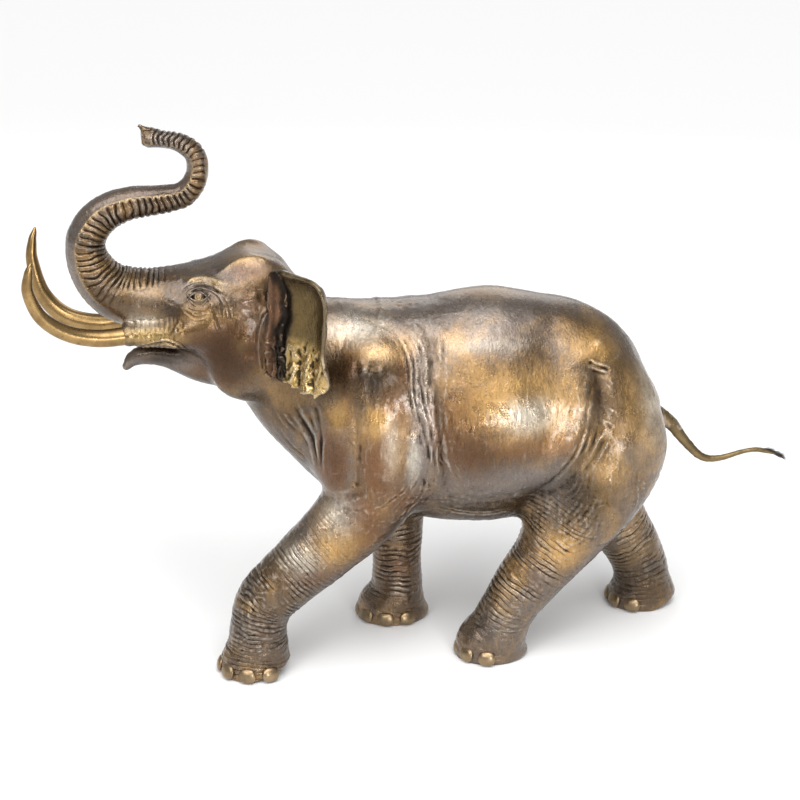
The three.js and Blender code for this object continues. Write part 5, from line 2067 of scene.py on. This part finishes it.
@dataclass
class Toenails:
    """The toenails, set round the front of every foot."""

    feet: Sequence[Foot]
    long: float = 10.5
    wide: float = 12.5
    thick: float = 5.2
    height: float = 12.5
    step: float = 38.0
    lean: float = 14.0
    cupped: float = 0.22

    def places(self) -> tuple[Array, Array]:
        """Where the nails stand, in metres on the frame, and how each is turned.

        Returns:
            Rows of places and rows of turns about X, Y and Z.
        """
        points, turns = [], []
        for foot in self.feet:
            for i in range(foot.nails):
                angle = math.radians((i - (foot.nails - 1) / 2) * self.step + foot.turn)
                points.append((foot.x - foot.deep * math.cos(angle), foot.y + foot.wide * math.sin(angle),
                               self.height))
                turns.append((0.0, math.radians(self.lean), -angle))
        return to_frame(np.array(points)), np.array(turns)

    def build(self, finish: Material) -> Thing:
        """Sets one domed nail at each place.

        Args:
            finish: The polished bronze.

        Returns:
            The piece.
        """
        p = Pattern("toenail_row")
        p.ask("Float", "Length", "Width", "Thickness")
        p.ask("Material", "Finish")
        dome = p.add("GeometryNodeMeshUVSphere", {"Segments": 28, "Rings": 18, "Radius": 1.0})
        _, y, z = p.place()
        lift = p.math("MULTIPLY", p.math("MULTIPLY", p.math("POWER", y, 2.0), self.cupped), z)
        shaped = p.moved(dome.outputs[0], p.vector(z=lift))
        turn = p.add("GeometryNodeInputNamedAttribute", {"Name": "turn"}, data_type="FLOAT_VECTOR")
        size = p.vector(p.given("Thickness"), p.given("Width"), p.given("Length"))
        points = p.add("GeometryNodeMeshToPoints", {"Mesh": p.given("Geometry")})
        p.end(p.set_out(points.outputs[0], shaped, turn.outputs[0], size))
        places, turns = self.places()
        source = bpy.data.meshes.new("toenail_places")
        source.from_pydata(places.tolist(), [], [])
        layer = source.attributes.new("turn", "FLOAT_VECTOR", "POINT")
        layer.data.foreach_set("vector", turns.astype(np.float32).ravel())
        return p.run("toenails", source, {"Length": self.long * MM, "Width": self.wide * MM,
                                          "Thickness": self.thick * MM, "Finish": finish})


# ---- studio

def hang(name: str, data: bpy.types.ID, at: Point, aim: Point) -> Thing:
    """Hangs a light or a camera at a place and aims it.

    Args:
        name: Its name.
        data: The light or the camera.
        at: Its place in metres.
        aim: The place it looks at.

    Returns:
        The object, linked to the scene.
    """
    thing = bpy.data.objects.new(name, data)
    thing.location = at
    thing.rotation_euler = (Vector(aim) - Vector(at)).to_track_quat("-Z", "Y").to_euler()
    bpy.context.scene.collection.objects.link(thing)
    return thing


@dataclass
class Softbox:
    """A soft square light aimed at the animal."""

    name: str
    at: Point
    width: float
    watts: float
    aim: Point = (0.0, 0.0, 0.35)

    def build(self) -> None:
        """Hangs the light."""
        light = bpy.data.lights.new(self.name, "AREA")
        light.energy, light.size = self.watts, self.width
        hang(self.name, light, self.at, self.aim)


@dataclass
class Studio:
    """A pale floor, soft light and the camera."""

    eye: Point = (-0.3693, -2.6016, 1.374)
    aim: Point = (-0.0323, -0.0096, 0.371)
    lens: float = 89.4
    floor_size: float = 40.0
    floor_tone: Colour = (0.9, 0.9, 0.9, 1.0)
    sky: float = 0.38
    sun: float = 2.45
    sun_spread: float = 75.0
    sun_turn: tuple[float, float] = (28.0, -8.0)
    lights: Sequence[Softbox] = (
        Softbox("top", (0.05, -1.35, 2.5), 1.2, 18),
        Softbox("key", (-1.9, -2.3, 1.9), 0.9, 18),
        Softbox("front", (0.5, -2.9, 0.62), 0.6, 22),
        Softbox("rim", (0.6, 2.2, 1.7), 1.6, 10),
    )

    def build(self) -> None:
        """Sets the studio."""
        self.lay_floor()
        world = bpy.data.worlds.new("studio")
        world.use_nodes = True
        ground = world.node_tree.nodes["Background"]
        ground.inputs["Color"].default_value = (1, 1, 1, 1)
        ground.inputs["Strength"].default_value = self.sky
        bpy.context.scene.world = world
        for light in self.lights:
            light.build()
        sun = bpy.data.lights.new("sky_panel", "SUN")
        sun.energy, sun.angle = self.sun, math.radians(self.sun_spread)
        high = bpy.data.objects.new("sky_panel", sun)
        high.rotation_euler = (*np.radians(self.sun_turn), 0)
        bpy.context.scene.collection.objects.link(high)
        camera = bpy.data.cameras.new("camera")
        camera.lens, camera.sensor_width = self.lens, 36.0
        camera.clip_start, camera.clip_end = 0.05, 100.0
        bpy.context.scene.camera = hang("camera", camera, self.eye, self.aim)
        bpy.context.scene.view_settings.view_transform = "Standard"

    def lay_floor(self) -> None:
        """Lays the floor just under the soles."""
        half = self.floor_size / 2
        corners = np.array([(-half, -half, 0), (half, -half, 0), (half, half, 0), (-half, half, 0)])
        bench = Bench("studio_floor")
        shader = bench.add("ShaderNodeBsdfPrincipled",
                           {"Base Color": self.floor_tone, "Roughness": 0.9, "Specular IOR Level": 0.1})
        bench.add("ShaderNodeOutputMaterial", {0: shader.outputs[0]})
        floor = mesh_object("floor", corners, np.array([(0, 1, 2), (0, 2, 3)]), bench.material)


def main() -> None:
    """Builds the studio and the elephant, piece by piece."""
    logging.basicConfig(level=logging.INFO, format="%(message)s")
    Studio().build()
    casting = CastBody()
    body = casting.build()
    body.data.materials.append(BodyPatina().build())
    polished = PolishedBronze().build()
    nail = PolishedBronze("nail_bronze", metal(158, 136, 106), metal(84, 70, 54), rough=0.3).build()
    streaks = (1.0, 3.0, 3.0)
    hide = PolishedBronze("tail_bronze", metal(138, 118, 82), metal(76, 64, 46), streaks, rough=0.36).build()
    hair = PolishedBronze("brush_bronze", metal(84, 76, 72), metal(46, 40, 38), streaks, rough=0.42).build()
    tail = Tail()
    pieces = [body, Tusks().build(polished), Toenails(casting.relief.clay.feet).build(nail),
              tail.build(hide), tail.brush(hair)]
    for piece in pieces:
        set_down(piece)
        LOG.info("%s: %d faces", piece.name, len(piece.data.polygons))


if __name__ == "__main__":
    main()
